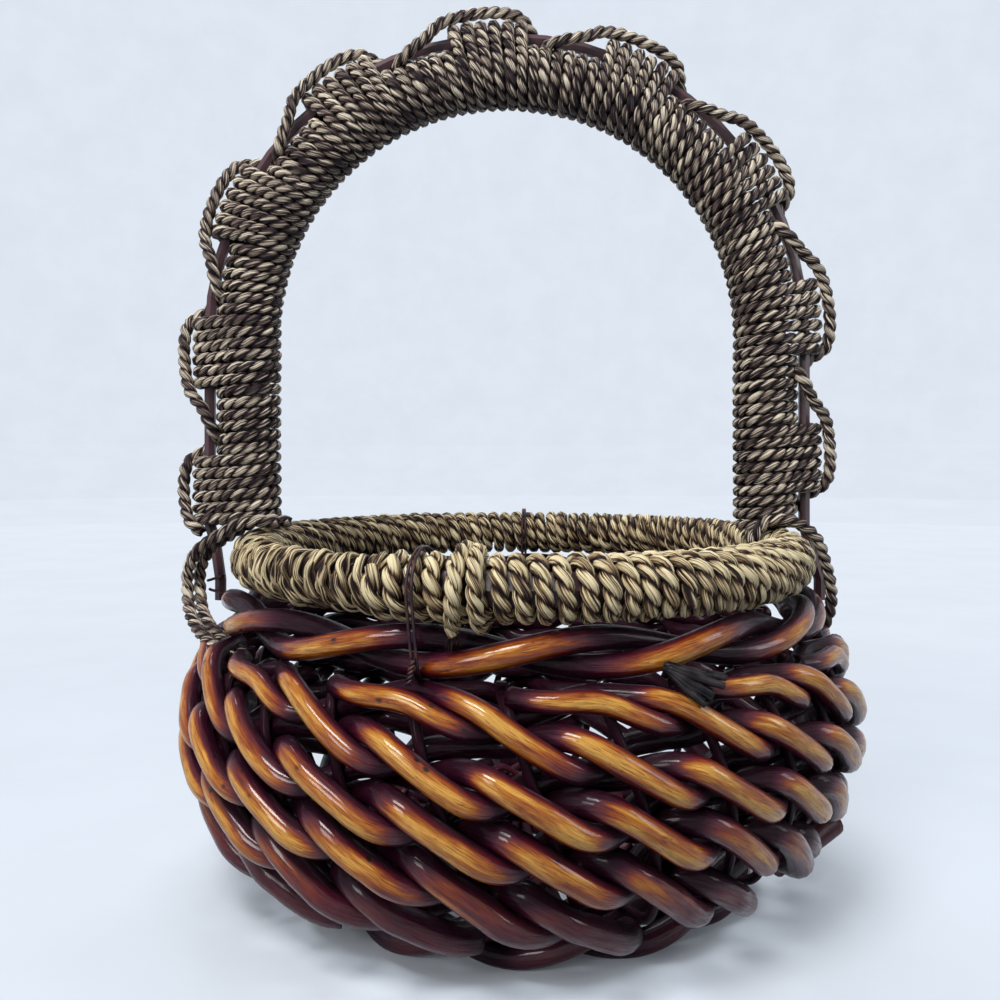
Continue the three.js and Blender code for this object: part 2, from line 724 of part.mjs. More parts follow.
// The scallop cord bows out over each wide block and lies on the rib between them.
const SCALLOP_LOW = ribOffset + RIB_THICKNESS / 2 + TOUCH_GAP + SCALLOP_THICKNESS / 2;
const SCALLOP_EDGE = wideReach + 2 * TOUCH_GAP + SCALLOP_THICKNESS / 2;
const SCALLOP_BOW = 1.8; // how much further the cord stands off in the middle of a block
const SCALLOP_SAMPLES = 7; // points of the cord for each block

function addScallopCord() {
  const blockLength = (WIDE_TURNS + NARROW_TURNS) * handlePitch;
  const halfBlock = (WIDE_TURNS * handlePitch) / 2;
  const blocks = Math.ceil(handleLength / blockLength);
  const route = [];
  for (let block = 0; block < blocks; block++) {
    const middle = block * blockLength + halfBlock;
    [
      [-halfBlock - 8, SCALLOP_LOW],
      [-halfBlock - 2.6, SCALLOP_EDGE],
      [-0.45 * halfBlock, SCALLOP_EDGE + SCALLOP_BOW],
      [0.45 * halfBlock, SCALLOP_EDGE + SCALLOP_BOW],
      [halfBlock + 2.8, SCALLOP_EDGE],
      [halfBlock + 9, SCALLOP_LOW],
    ].forEach(([shift, offset]) => {
      const station = handleStation(middle + shift);
      route.push(station.at.addScaledVector(station.side, -offset));
    });
  }
  route[0].z = handleFoot - 3;
  const curve = new THREE.CatmullRomCurve3(route, false, "centripetal");
  const points = curve.getPoints(blocks * SCALLOP_SAMPLES);
  add("scallop_cord", tube(points, () => SCALLOP_THICKNESS / 2, 5, handleSide), "rope");
}

// Cords that bind the feet of the handle, laid over the rim and down past the border. Each point says
// whether it keeps to the rim or to the border, how far outside that it lies, its place along Y, and
// its height above that.
const LEFT_ROUTE = [
  ["rim", -12.5, -15, 12.8],
  ["rim", -1, -15.6, 13.2],
  ["rim", 10, -14.2, 7.8],
  ["rim", 19.5, -11, 2],
  ["border", 11.3, -6, 11.8],
  ["border", 11.8, -2, 3.3],
  ["border", 9.3, 0, -4.2],
];
const RIGHT_ROUTE = [
  ["rim", -13, -15.4, 5],
  ["rim", -7.5, -15.8, 12.8],
  ["rim", 2.5, -15.6, 13],
  ["rim", 11.7, -13.5, 7],
  ["rim", 16, -11, -2],
  ["border", 4.8, -8.6, 7.3],
  ["border", 5.8, -6.2, -1.7],
];

function addLashings() {
  const anchors = {
    rim: { out: RIM_HALF_WIDTH, height: RIM_HEIGHT },
    border: { out: bowlRadius(borderHeight), height: borderHeight },
  };
  const laid = (name, route, sign, moved) => {
    const points = route.map(([anchor, out, aside, rise]) => {
      const { out: beyond, height } = anchors[anchor];
      return new THREE.Vector3(sign * (beyond + out), aside, height + rise).add(moved);
    });
    const curve = new THREE.CatmullRomCurve3(points, false, "centripetal");
    const cord = tube(curve.getPoints(11), () => LASHING_THICKNESS / 2, 5, frontward);
    add(name, cord, "rope");
  };
  const beside = new THREE.Vector3(-1.5, -1.2 * LASHING_THICKNESS, 0);
  laid("left_lashing_inner", LEFT_ROUTE, -1, new THREE.Vector3());
  laid("left_lashing_outer", LEFT_ROUTE, -1, beside);
  laid("right_lashing", RIGHT_ROUTE, 1, new THREE.Vector3());
}

function addTies() {
  TIE_STAKES.forEach((stake, i) => {
    const across = polar(tieAngle(stake) + 90, 1, 0);
    const wire = tube(tiePoints(stake), () => TIE_THICKNESS / 2, 4, () => across, true);
    add(`wire_tie_${i + 1}`, wire, "wire");
  });
}

addTwists();
addSpokes();
addBaseReed();
addRods();
addRim();
addHandle();
addScallopCord();
addLashings();
addTies();

const extent = new THREE.Box3().setFromObject(basket);
const middle = extent.getCenter(new THREE.Vector3());
basket.position.set(-middle.x, -middle.y, -extent.min.z);

export default basket;
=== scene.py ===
"""Rattan basket with a rope-wound rim and an arched handle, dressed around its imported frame.

The basket is drawn in millimetres about the bowl's axis, with the front at -Y and the handle's
arch in the XZ plane, and every mesh is placed in metres in the row frame.
"""

import logging
import math
import random
from collections.abc import Callable, Iterable
from dataclasses import dataclass, field
from enum import Enum

import bmesh
import bpy
import numpy as np
from bpy.types import Material, Mesh, Node, NodeSocket, NodeTree
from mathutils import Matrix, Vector


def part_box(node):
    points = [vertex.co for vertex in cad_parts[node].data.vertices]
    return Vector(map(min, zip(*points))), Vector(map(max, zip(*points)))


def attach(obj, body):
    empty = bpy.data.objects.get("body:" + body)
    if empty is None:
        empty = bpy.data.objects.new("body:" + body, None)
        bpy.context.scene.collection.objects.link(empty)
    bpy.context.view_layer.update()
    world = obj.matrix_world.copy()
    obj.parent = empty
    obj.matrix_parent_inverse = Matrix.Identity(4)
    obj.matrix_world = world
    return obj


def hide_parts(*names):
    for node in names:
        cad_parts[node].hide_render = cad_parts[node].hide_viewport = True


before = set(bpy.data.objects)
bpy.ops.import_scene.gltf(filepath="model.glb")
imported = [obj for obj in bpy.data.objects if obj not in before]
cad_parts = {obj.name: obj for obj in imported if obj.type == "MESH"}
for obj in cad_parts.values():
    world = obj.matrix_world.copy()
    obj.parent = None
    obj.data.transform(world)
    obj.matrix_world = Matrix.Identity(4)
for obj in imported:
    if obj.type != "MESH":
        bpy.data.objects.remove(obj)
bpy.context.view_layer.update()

log = logging.getLogger("basket")

MM = 0.001
BODY = "root"
UP = np.array([0.0, 0.0, 1.0])

Array = np.ndarray

# Gives points' rubbing and painted shade, from 0 in a shaded hollow to 1 on a crest, from points in
# millimetres and normals
WearShadeRule = Callable[[Array, Array], Array]


# Paths


def unit(vectors: Array) -> Array:
    """Vectors scaled to a length of one."""
    return vectors / np.maximum(np.linalg.norm(vectors, axis=-1, keepdims=True), 1e-9)


def smoothstep(low: float, high: float, values: Array) -> Array:
    """Rises from 0 at low to 1 at high without a corner."""
    share = np.clip((np.asarray(values, float) - low) / (high - low), 0, 1)
    return share * share * (3 - 2 * share)


def between(a: Array, b: Array, low: float, high: float, at: float) -> Array:
    """The point that lies between a at low and b at high."""
    return ((high - at) * a + (at - low) * b) / (high - low)


def polar(degrees: Array, radius: Array, height: Array) -> Array:
    """Points at angles from the front, counted towards +X.

    Args:
        degrees: Angles from the front.
        radius: Distances from the bowl's axis in millimetres.
        height: Heights in millimetres.

    Returns:
        Points of shape (n, 3), or one point.
    """
    a = np.radians(degrees)
    parts = np.broadcast_arrays(radius * np.sin(a), -radius * np.cos(a), height)
    return np.stack(parts, axis=-1).astype(float)


@dataclass
class Path:
    """A line through space with a thickness at each of its points.

    Attributes:
        points: Its points in millimetres, shape (n, 3).
        radii: The strand's radius at each point.
        closed: Whether it runs back into its start.
    """

    points: Array
    radii: Array
    closed: bool = False

    def lengths(self) -> Array:
        """Length of the line up to each point."""
        steps = np.linalg.norm(np.diff(self.points, axis=0), axis=1)
        return np.concatenate([[0.0], np.cumsum(steps)])

    def tangents(self) -> Array:
        """Direction of the line at each point.

        Returns:
            Unit vectors of shape (n, 3).
        """
        if self.closed:
            return unit(np.roll(self.points, -1, axis=0) - np.roll(self.points, 1, axis=0))
        return unit(np.gradient(self.points, axis=0))

    def smoothed(self, steps: int) -> "Path":
        """The curve through the same points, with more of them.

        Args:
            steps: New points for each old stretch.

        Returns:
            A path on a centripetal curve.
        """
        p, r = self.points, self.radii
        if self.closed:
            p = np.vstack([p[-1:], p, p[:2]])
            r = np.concatenate([r[-1:], r, r[:2]])
        else:
            p = np.vstack([2 * p[0] - p[1], p, 2 * p[-1] - p[-2]])
            r = np.concatenate([r[:1], r, r[-1:]])
        knots = np.concatenate([[0.0], np.cumsum(np.linalg.norm(np.diff(p, axis=0), axis=1) ** 0.5)])
        points, radii = [], []
        for i in range(1, len(p) - 2):
            t0, t1, t2, t3 = knots[i - 1 : i + 3]
            for t in np.linspace(t1, t2, steps, endpoint=False):
                a1 = between(p[i - 1], p[i], t0, t1, t)
                a2 = between(p[i], p[i + 1], t1, t2, t)
                a3 = between(p[i + 1], p[i + 2], t2, t3, t)
                points.append(between(between(a1, a2, t0, t2, t), between(a2, a3, t1, t3, t), t1, t2, t))
                radii.append(r[i] + (r[i + 1] - r[i]) * (t - t1) / (t2 - t1))
        if not self.closed:
            points.append(self.points[-1])
            radii.append(self.radii[-1])
        return Path(np.array(points), np.array(radii), self.closed)

    def spaced(self, step: float) -> "Path":
        """The same line with points an even step apart.

        Args:
            step: Distance from one point to the next, in millimetres.

        Returns:
            The evenly spaced path.
        """
        along = self.lengths()
        count = max(2, round(along[-1] / step) + 1)
        places = np.linspace(0, along[-1], count)
        columns = [np.interp(places, along, self.points[:, k]) for k in range(3)]
        return Path(np.stack(columns, axis=1), np.interp(places, along, self.radii), self.closed)

    def wavered(self, rng: random.Random, amount: float, stretch: float, swell: float) -> "Path":
        """The line as a natural rod lies, not quite true and not quite even.

        Args:
            rng: Source of the unevenness.
            amount: How far the line strays, in millimetres.
            stretch: Length of one waver.
            swell: Share by which the thickness varies.

        Returns:
            The uneven path.
        """
        along = self.lengths()
        together = 1.4
        swelling = 0.7 * stretch
        shift = np.zeros_like(self.points)
        thick = np.zeros(len(along))
        for often in (1.0, 2.3):
            for k in range(3):
                phase = rng.uniform(0, math.tau)
                shift[:, k] += np.sin(math.tau * often * along / stretch + phase) / often
            phase = rng.uniform(0, math.tau)
            thick += np.sin(math.tau * often * along / swelling + phase) / often
        radii = self.radii * (1 + swell * thick)
        return Path(self.points + amount * shift / together, radii, self.closed)

    def carried_normals(self, first: Array) -> Array:
        """Normals that are carried along the line without turning about it.

        Args:
            first: A direction across the line's start.

        Returns:
            A unit vector across the line at each point.
        """
        tangents = self.tangents()
        normals = np.zeros_like(tangents)
        side = first
        for i, tangent in enumerate(tangents):
            side = side - tangent * side.dot(tangent)
            side = side / np.linalg.norm(side)
            normals[i] = side
        return normals


@dataclass(frozen=True)
class Lay:
    """How a rope is laid up.

    Attributes:
        plies: Number of plies.
        ply_thickness: Thickness of one ply in millimetres.
        reach: Distance of a ply's middle from the rope's middle.
        pitch: Length in which a ply turns once about the rope.
    """

    plies: int
    ply_thickness: float
    reach: float
    pitch: float

    def strands(self, line: Path, normals: Array, slack: Array | None = None) -> list[Path]:
        """Lays the plies round a line.

        Args:
            line: The rope's middle.
            normals: A direction across the line at each point.
            slack: How much less the rope is twisted at each point, from 0 to 1.

        Returns:
            One path for each ply. The plies turn left-handed.
        """
        tangents = line.tangents()
        normals = unit(normals - tangents * np.sum(normals * tangents, axis=1, keepdims=True))
        across = np.cross(tangents, normals)
        rate = math.tau / self.pitch * (1 - (0 if slack is None else slack))
        rate = np.broadcast_to(rate, len(line.points))
        steps = np.diff(line.lengths())
        turn = np.concatenate([[0.0], np.cumsum(steps * (rate[1:] + rate[:-1]) / 2)])
        laid = []
        for ply in range(self.plies):
            a = -turn + math.tau * ply / self.plies
            offset = np.cos(a)[:, None] * normals + np.sin(a)[:, None] * across
            scale = line.radii[:, None]
            points = line.points + self.reach * scale * offset
            laid.append(Path(points, self.ply_thickness / 2 * line.radii))
        return laid


# Meshes


@dataclass
class Drawing:
    """Places the drawing's millimetres in the row frame.

    Attributes:
        handle_centre: Where the handle's middle lies along X in the drawing.
        shift: Where the bowl's axis stands in the row frame, in metres.
    """

    handle_centre: float
    shift: Array = field(init=False)

    def __post_init__(self) -> None:
        """Finds the bowl's axis from the handle's core."""
        low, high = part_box("handle_core")
        middle = (low + high) / 2
        self.shift = np.array([middle.x - self.handle_centre * MM, middle.y, 0.0])

    def to_frame(self, points: Array) -> Array:
        """Drawing millimetres as metres in the row frame."""
        return np.asarray(points, float) * MM + self.shift

    def from_frame(self, points: Array) -> Array:
        """Metres in the row frame as drawing millimetres."""
        return (np.asarray(points, float) - self.shift) / MM


def add_object(name: str, data: bpy.types.ID) -> bpy.types.Object:
    """Puts a mesh, a lamp or a camera in the scene.

    Args:
        name: The new object's name.
        data: What it shows.

    Returns:
        The object.
    """
    made = bpy.data.objects.new(name, data)
    bpy.context.scene.collection.objects.link(made)
    return made


def vectors_of(items: bpy.types.bpy_prop_collection, name: str) -> Array:
    """Three numbers of each of a mesh's items, such as the places of its vertices.

    Args:
        items: The mesh's vertices or their normals.
        name: The numbers' name.

    Returns:
        The numbers, shape (n, 3).
    """
    flat = np.zeros(len(items) * 3)
    items.foreach_get(name, flat)
    return flat.reshape(-1, 3)


def even_wear(value: float) -> WearShadeRule:
    """Wear that is the same all over a piece."""
    return lambda points, normals: np.full(len(points), value)


class Shaper:
    """Collects round strands and other shapes in one mesh.

    Attributes:
        UV: Name of the map that runs along the strands.
        PLY_SIDES: Faces round a ply of rope.
        MERGE_DISTANCE: Distance in metres at which points become one.
    """

    UV = "UVMap"
    PLY_SIDES = 8
    MERGE_DISTANCE = 0.00001

    def __init__(self, drawing: Drawing) -> None:
        """Starts an empty mesh.

        Args:
            drawing: Where the basket is drawn.
        """
        self.drawing = drawing
        self.bm = bmesh.new()

    def sweep(self, path: Path, values: dict[str, Array], **settings: object) -> Mesh:
        """Runs a curve's section along a path.

        Args:
            path: The line.
            values: Values of the curve's points, by name.
            settings: The curve's own properties.

        Returns:
            The swept mesh.
        """
        curve = bpy.data.curves.new("strand", "CURVE")
        curve.dimensions = "3D"
        for key, value in settings.items():
            setattr(curve, key, value)
        spline = curve.splines.new("POLY")
        count = len(path.points)
        spline.points.add(count - 1)
        places = np.ones((count, 4))
        places[:, :3] = self.drawing.to_frame(path.points)
        spline.points.foreach_set("co", places.ravel())
        for key, value in values.items():
            spline.points.foreach_set(key, value)
        spline.use_cyclic_u = path.closed
        holder = bpy.data.objects.new("strand", curve)
        mesh = bpy.data.meshes.new_from_object(holder)
        bpy.data.objects.remove(holder)
        bpy.data.curves.remove(curve)
        return mesh

    def add(self, mesh: Mesh) -> None:
        """Takes a mesh in and removes it."""
        self.bm.from_mesh(mesh)
        bpy.data.meshes.remove(mesh)

    def strand(self, path: Path, sides: int, mark: int = 0, spine: Path | None = None) -> None:
        """Adds a round strand.

        Its UV map runs in metres along the strand and from 0 to 1 round it.

        Args:
            path: The strand's line and thickness in millimetres.
            sides: Its faces round, an even number from 4.
            mark: Whole number added to V, which tells plies apart.
            spine: Middle line of the rope that the strand is a ply of. What lies far from it
                gets a crest of 1, and what lies against the other plies a crest of 0.
        """
        mesh = self.sweep(
            path,
            {"radius": path.radii * MM},
            bevel_depth=1.0,
            bevel_resolution=(sides - 4) // 2,
            use_fill_caps=not path.closed,
        )
        rings = self._measure(mesh, path, 0 if path.closed else 2 * sides, mark)
        if spine is not None:
            self._mark_crests(mesh, path, spine, rings)
        self.add(mesh)

    def rope(self, lay: Lay, line: Path, normals: Array, mark: int = 0, slack: Array | None = None) -> None:
        """Adds the plies of a rope.

        Args:
            lay: How it is laid up.
            line: Its middle.
            normals: A direction across the line at each point.
            mark: Mark of its first ply.
            slack: How much less it is twisted at each point, from 0 to 1.
        """
        for ply, strand in enumerate(lay.strands(line, normals, slack), mark):
            self.strand(strand, self.PLY_SIDES, mark=ply, spine=line)

    def _measure(self, mesh: Mesh, path: Path, cap_corners: int, mark: int) -> Array:
        """Turns a strand's UV map into metres along it.

        Args:
            mesh: The strand's mesh.
            path: Its path.
            cap_corners: Vertices that belong to its end faces.
            mark: Whole number added to V.

        Returns:
            The path point that each vertex belongs to.
        """
        count = len(mesh.loops)
        flat = np.zeros(count * 2)
        mesh.uv_layers[0].data.foreach_get("uv", flat)
        uv = flat.reshape(-1, 2)
        corners = np.zeros(count, dtype=int)
        mesh.loops.foreach_get("vertex_index", corners)
        along = path.lengths() * MM
        last = len(along) - (0 if path.closed else 1)
        if path.closed:
            closing = np.linalg.norm(path.points[0] - path.points[-1]) * MM
            along = np.append(along, along[-1] + closing)
        rings = np.zeros(len(mesh.vertices), dtype=int)
        body = corners >= cap_corners
        rings[corners[body]] = np.round(uv[body, 0] * last).astype(int) % len(path.points)
        uv[:, 0] = np.interp(uv[:, 0] * last, np.arange(len(along)), along)
        uv[:, 1] += mark
        uv[~body, 0] = 0
        mesh.uv_layers[0].data.foreach_set("uv", uv.ravel())
        return rings

    def _mark_crests(self, mesh: Mesh, path: Path, spine: Path, rings: Array) -> None:
        """Marks what stands out from a rope's middle line.

        Args:
            mesh: A ply's mesh.
            path: The ply's path.
            spine: The rope's middle line, point for point.
            rings: The path point that each vertex belongs to.
        """
        places = self.drawing.from_frame(vectors_of(mesh.vertices, "co"))
        reach = np.linalg.norm(path.points - spine.points, axis=1) + path.radii
        away = np.linalg.norm(places - spine.points[rings], axis=1) / reach[rings]
        # the rope finish turns low crest values into painted shade in the seams between plies
        layer = mesh.attributes.new("crest", "FLOAT", "POINT")
        layer.data.foreach_set("value", smoothstep(0.58, 0.97, away).astype(np.float32))

    def piece(
        self,
        name: str,
        finish: "Finish",
        nodes: Iterable[str] = (),
        wear_and_shade: WearShadeRule | None = None,
    ) -> None:
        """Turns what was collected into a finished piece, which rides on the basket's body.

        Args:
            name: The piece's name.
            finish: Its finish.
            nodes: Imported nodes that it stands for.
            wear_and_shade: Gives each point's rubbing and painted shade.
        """
        bmesh.ops.remove_doubles(self.bm, verts=self.bm.verts, dist=self.MERGE_DISTANCE)
        bmesh.ops.recalc_face_normals(self.bm, faces=self.bm.faces)
        mesh = bpy.data.meshes.new(name)
        self.bm.to_mesh(mesh)
        self.bm.free()
        mesh.shade_smooth()
        if wear_and_shade is not None:
            places = self.drawing.from_frame(vectors_of(mesh.vertices, "co"))
            values = wear_and_shade(places, vectors_of(mesh.vertex_normals, "vector"))
            # this attribute carries painted shade, as well as rubbing, into the surface colour
            layer = mesh.attributes.new("wear_and_shade", "FLOAT", "POINT")
            layer.data.foreach_set("value", np.asarray(values, np.float32))
        mesh.materials.append(finish.material())
        made = add_object(name, mesh)
        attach(made, BODY)
        nodes = list(nodes)
        if nodes:
            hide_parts(*nodes)
        log.info("%s: %d faces, for %s", name, len(mesh.polygons), ", ".join(nodes) or "itself")


# Finishes


class NodePad:
    """Lays and links the nodes of one material or node group."""

    def __init__(self, tree: NodeTree) -> None:
        """Starts on a node tree.

        Args:
            tree: The tree that gets the nodes.
        """
        self.tree = tree

    def plug(self, node: Node, inputs: dict) -> None:
        """Sets or links inputs of a node.

        Args:
            node: The node.
            inputs: Values or sockets for its inputs, by name or number.
        """
        for key, value in inputs.items():
            if isinstance(value, NodeSocket):
                self.tree.links.new(value, node.inputs[key])
            else:
                node.inputs[key].default_value = value

    def node(self, kind: str, inputs: dict | None = None, **settings: object) -> Node:
        """Adds a node.

        Args:
            kind: The node's type without its ShaderNode prefix.
            inputs: Values or sockets for its inputs, by name or number.
            settings: Its other properties.

        Returns:
            The node.
        """
        made = self.tree.nodes.new("ShaderNode" + kind)
        for key, value in settings.items():
            setattr(made, key, value)
        self.plug(made, inputs or {})
        return made

    def math(self, operation: str, *values: object, clamp: bool = False) -> NodeSocket:
        """A sum or other operation on numbers."""
        inputs = dict(enumerate(values))
        return self.node("Math", inputs, operation=operation, use_clamp=clamp).outputs[0]

    def range(self, value: NodeSocket, low: float, high: float, to: tuple = (0.0, 1.0)) -> NodeSocket:
        """A value taken smoothly from one range to another.

        Args:
            value: The value.
            low: Where its range begins.
            high: Where it ends.
            to: The range that it is taken to.

        Returns:
            The new value's socket.
        """
        inputs = {"Value": value, "From Min": low, "From Max": high}
        inputs |= {"To Min": to[0], "To Max": to[1]}
        return self.node("MapRange", inputs, interpolation_type="SMOOTHSTEP").outputs[0]

    def noise(self, place: NodeSocket, scale: float, detail: float, roughness: float = 0.5) -> NodeSocket:
        """Uneven values about a half.

        Args:
            place: Where in the pattern a point lies.
            scale: The pattern's cells for each unit of place.
            detail: How many finer patterns lie over it.
            roughness: How much of the finer ones shows.

        Returns:
            The value's socket.
        """
        inputs = {"Vector": place, "Scale": scale, "Detail": detail, "Roughness": roughness}
        return self.node("TexNoise", inputs).outputs[0]

    def bump(self, height: NodeSocket, strength: float, distance: float) -> NodeSocket:
        """Normals of a surface with small heights and hollows."""
        inputs = {"Height": height, "Strength": strength, "Distance": distance}
        return self.node("Bump", inputs).outputs[0]

    def mix(self, factor: object, first: object, second: object) -> NodeSocket:
        """A mix of two colours.

        Args:
            factor: Share of the second colour.
            first: The first colour, three numbers or a socket.
            second: The second colour.

        Returns:
            The mixed colour's socket.
        """
        inputs = {0: factor}
        for key, colour in ((6, first), (7, second)):
            inputs[key] = (*colour, 1.0) if isinstance(colour, tuple) else colour
        return self.node("Mix", inputs, data_type="RGBA").outputs[2]

    def ramp(self, value: NodeSocket, stops: Iterable[tuple]) -> NodeSocket:
        """A colour from a scale of colours.

        Args:
            value: The place on the scale.
            stops: Places with their colours, lowest first.

        Returns:
            The colour socket.
        """
        made = self.node("ValToRGB", {0: value})
        elements = made.color_ramp.elements
        for i, (place, colour) in enumerate(stops):
            stop = elements[i] if i < 2 else elements.new(place)
            stop.position = place
            stop.color = (*colour, 1.0)
        return made.outputs[0]


def strand_space(pad: NodePad, along: float, around: float, seed: object) -> NodeSocket:
    """A space that follows a strand's surface and closes round it.

    Args:
        pad: Where the nodes go.
        along: Pattern cells for each metre along the strand.
        around: Half the pattern cells across the strand.
        seed: Number that moves the pattern.

    Returns:
        A vector socket.
    """
    uv = pad.node("UVMap", uv_map=Shaper.UV)
    parts = pad.node("SeparateXYZ", {0: uv.outputs[0]})
    turn = pad.math("MULTIPLY", parts.outputs[1], math.tau)
    ply = pad.math("MULTIPLY", pad.math("FLOOR", parts.outputs[1]), 7.3)
    place = pad.math("MULTIPLY_ADD", parts.outputs[0], along, pad.math("ADD", ply, seed))
    x = pad.math("MULTIPLY", pad.math("COSINE", turn), around)
    y = pad.math("MULTIPLY", pad.math("SINE", turn), around)
    return pad.node("CombineXYZ", {0: place, 1: x, 2: y}).outputs[0]


class GroupPad(NodePad):
    """Lays the nodes of a shader node group with numbers in and out.

    Attributes:
        given: The group's inputs, as sockets inside it.
        SOCKET: Kind of its inputs and outputs.
    """

    SOCKET = "NodeSocketFloat"

    def __init__(self, name: str, inputs: dict[str, float]) -> None:
        """Starts an empty group.

        Args:
            name: The group's name.
            inputs: Input names with their usual values.
        """
        super().__init__(bpy.data.node_groups.new(name, "ShaderNodeTree"))
        for key, value in inputs.items():
            socket = self.tree.interface.new_socket(key, in_out="INPUT", socket_type=self.SOCKET)
            socket.default_value = value
        self.given = self.tree.nodes.new("NodeGroupInput").outputs

    def give(self, outputs: dict[str, NodeSocket]) -> NodeTree:
        """Closes the group.

        Args:
            outputs: What it puts out, by name.

        Returns:
            The group's tree.
        """
        for key in outputs:
            self.tree.interface.new_socket(key, in_out="OUTPUT", socket_type=self.SOCKET)
        self.plug(self.tree.nodes.new("NodeGroupOutput"), outputs)
        return self.tree


class Effect(Enum):
    """Effects that are made as shader node groups.

    Attributes:
        BARK: Streaks, buds and dents of a peeled rod.
        FIBRES: Fibres and dye of a ply of grass rope.
        DUST: Dust on what faces up.
    """

    BARK = "bark"
    FIBRES = "fibres"
    DUST = "dust"


class Effects:
    """Shader node groups of the effects, each built once.

    Attributes:
        _made: The groups built so far.
    """

    _made: dict[Effect, NodeTree] = {}

    @classmethod
    def place(cls, pad: NodePad, effect: Effect, inputs: dict[str, object]) -> Node:
        """Places one of the groups in a material.

        Args:
            pad: The material's pad.
            effect: Which of them.
            inputs: Values or sockets for its inputs.

        Returns:
            The group node.
        """
        makers = {Effect.BARK: cls._bark, Effect.FIBRES: cls._fibres, Effect.DUST: cls._dust}
        if effect not in cls._made:
            cls._made[effect] = makers[effect]()
        return pad.node("Group", inputs, node_tree=cls._made[effect])

    @staticmethod
    def _bark() -> NodeTree:
        """Streaks, blotches, knots and dents of a peeled rod.

        Returns:
            The group's tree.
        """
        pad = GroupPad(Effect.BARK.value, {"Seed": 0.0})
        seed = pad.given["Seed"]
        fine = pad.noise(strand_space(pad, 150, 10.0, seed), 1.0, 6.0, 0.65)
        lines = pad.noise(strand_space(pad, 210, 24.0, seed), 1.0, 3.0)
        broad = pad.noise(strand_space(pad, 60, 1.6, seed), 1.0, 4.0)
        dents = pad.noise(strand_space(pad, 150, 3.0, seed), 1.0, 2.0)
        specks = pad.noise(strand_space(pad, 420, 5.0, seed), 1.0, 2.0)
        cells = pad.node("TexVoronoi", {"Vector": strand_space(pad, 290, 1.2, seed), "Scale": 1.0})
        picked = pad.node("SeparateXYZ", {0: cells.outputs["Color"]}).outputs[0]
        ragged = pad.math("MULTIPLY_ADD", fine, 0.7, -0.35)
        near = pad.range(pad.math("ADD", cells.outputs["Distance"], ragged), 0.36, 0.10)
        bud = pad.math("MULTIPLY", near, pad.math("GREATER_THAN", picked, 0.94))
        speck = pad.range(specks, 0.66, 0.74)
        line = pad.range(lines, 0.47, 0.34)
        sunk = pad.math("MULTIPLY_ADD", bud, -0.9, pad.math("MULTIPLY", line, -0.35))
        uneven = pad.math("MULTIPLY_ADD", dents, 1.8, sunk)
        return pad.give({
            "Streaks": fine,
            "Lines": line,
            "Blotches": broad,
            "Buds": pad.math("MAXIMUM", bud, pad.math("MULTIPLY", speck, 0.5)),
            "Height": pad.math("MULTIPLY_ADD", fine, 0.6, uneven),
        })

    @staticmethod
    def _fibres() -> NodeTree:
        """Fibres, creases and dyed stretches of a ply of grass rope.

        Returns:
            The group's tree.
        """
        pad = GroupPad(Effect.FIBRES.value, {"Seed": 0.0})
        seed = pad.given["Seed"]
        fine = pad.noise(strand_space(pad, 60, 7.0, seed), 1.0, 4.0, 0.65)
        edges = pad.noise(strand_space(pad, 70, 4.6, seed), 1.0, 2.0)
        creases = pad.range(edges, 0.47, 0.37)
        return pad.give({
            "Fibres": fine,
            "Strips": pad.noise(strand_space(pad, 60, 2.6, seed), 1.0, 3.0),
            "Creases": creases,
            "Dye": pad.noise(strand_space(pad, 50, 0.5, seed), 1.0, 2.0),
            "Height": pad.math("MULTIPLY_ADD", creases, -0.8, pad.math("MULTIPLY", fine, 0.7)),
        })

    @staticmethod
    def _dust() -> NodeTree:
        """Grey dust that lies on what faces up, more of it on one side of the basket.

        Returns:
            The group's tree.
        """
        pad = GroupPad(Effect.DUST.value, {"Amount": 0.3})
        place = pad.node("TexCoord").outputs["Object"]
        cloud = pad.noise(place, 55.0, 4.0)
        up = pad.node("SeparateXYZ", {0: pad.node("NewGeometry").outputs["Normal"]}).outputs[2]
        side = pad.range(pad.node("SeparateXYZ", {0: place}).outputs[0], 0.02, 0.12, (0.35, 1.0))
        lies = pad.math("MULTIPLY", pad.range(up, -0.5, 0.9), pad.range(cloud, 0.35, 0.68))
        lies = pad.math("MULTIPLY", lies, side)
        return pad.give({"Dust": pad.math("MULTIPLY", lies, pad.given["Amount"], clamp=True)})


@dataclass(frozen=True)
class Finish:
    """What a piece's surface is.

    Attributes:
        name: The material's name.
        slot: The record's material slot.
        seed: Number that moves its patterns.
    """

    name: str
    slot: str
    seed: float = 0.0

    def material(self) -> Material:
        """The material, built the first time it is asked for.

        Returns:
            The material, the same one each time.
        """
        made = bpy.data.materials.get(self.name)
        if made is None:
            made = bpy.data.materials.new(self.name)
            made.use_nodes = True
            pad = NodePad(made.node_tree)
            self.dress(pad, made.node_tree.nodes["Principled BSDF"])
        return made

    def dress(self, pad: NodePad, surface: Node) -> None:
        """Feeds the surface's inputs, in each kind of finish in its own way.

        Args:
            pad: The material's pad.
            surface: Its shader.
        """
        raise NotImplementedError


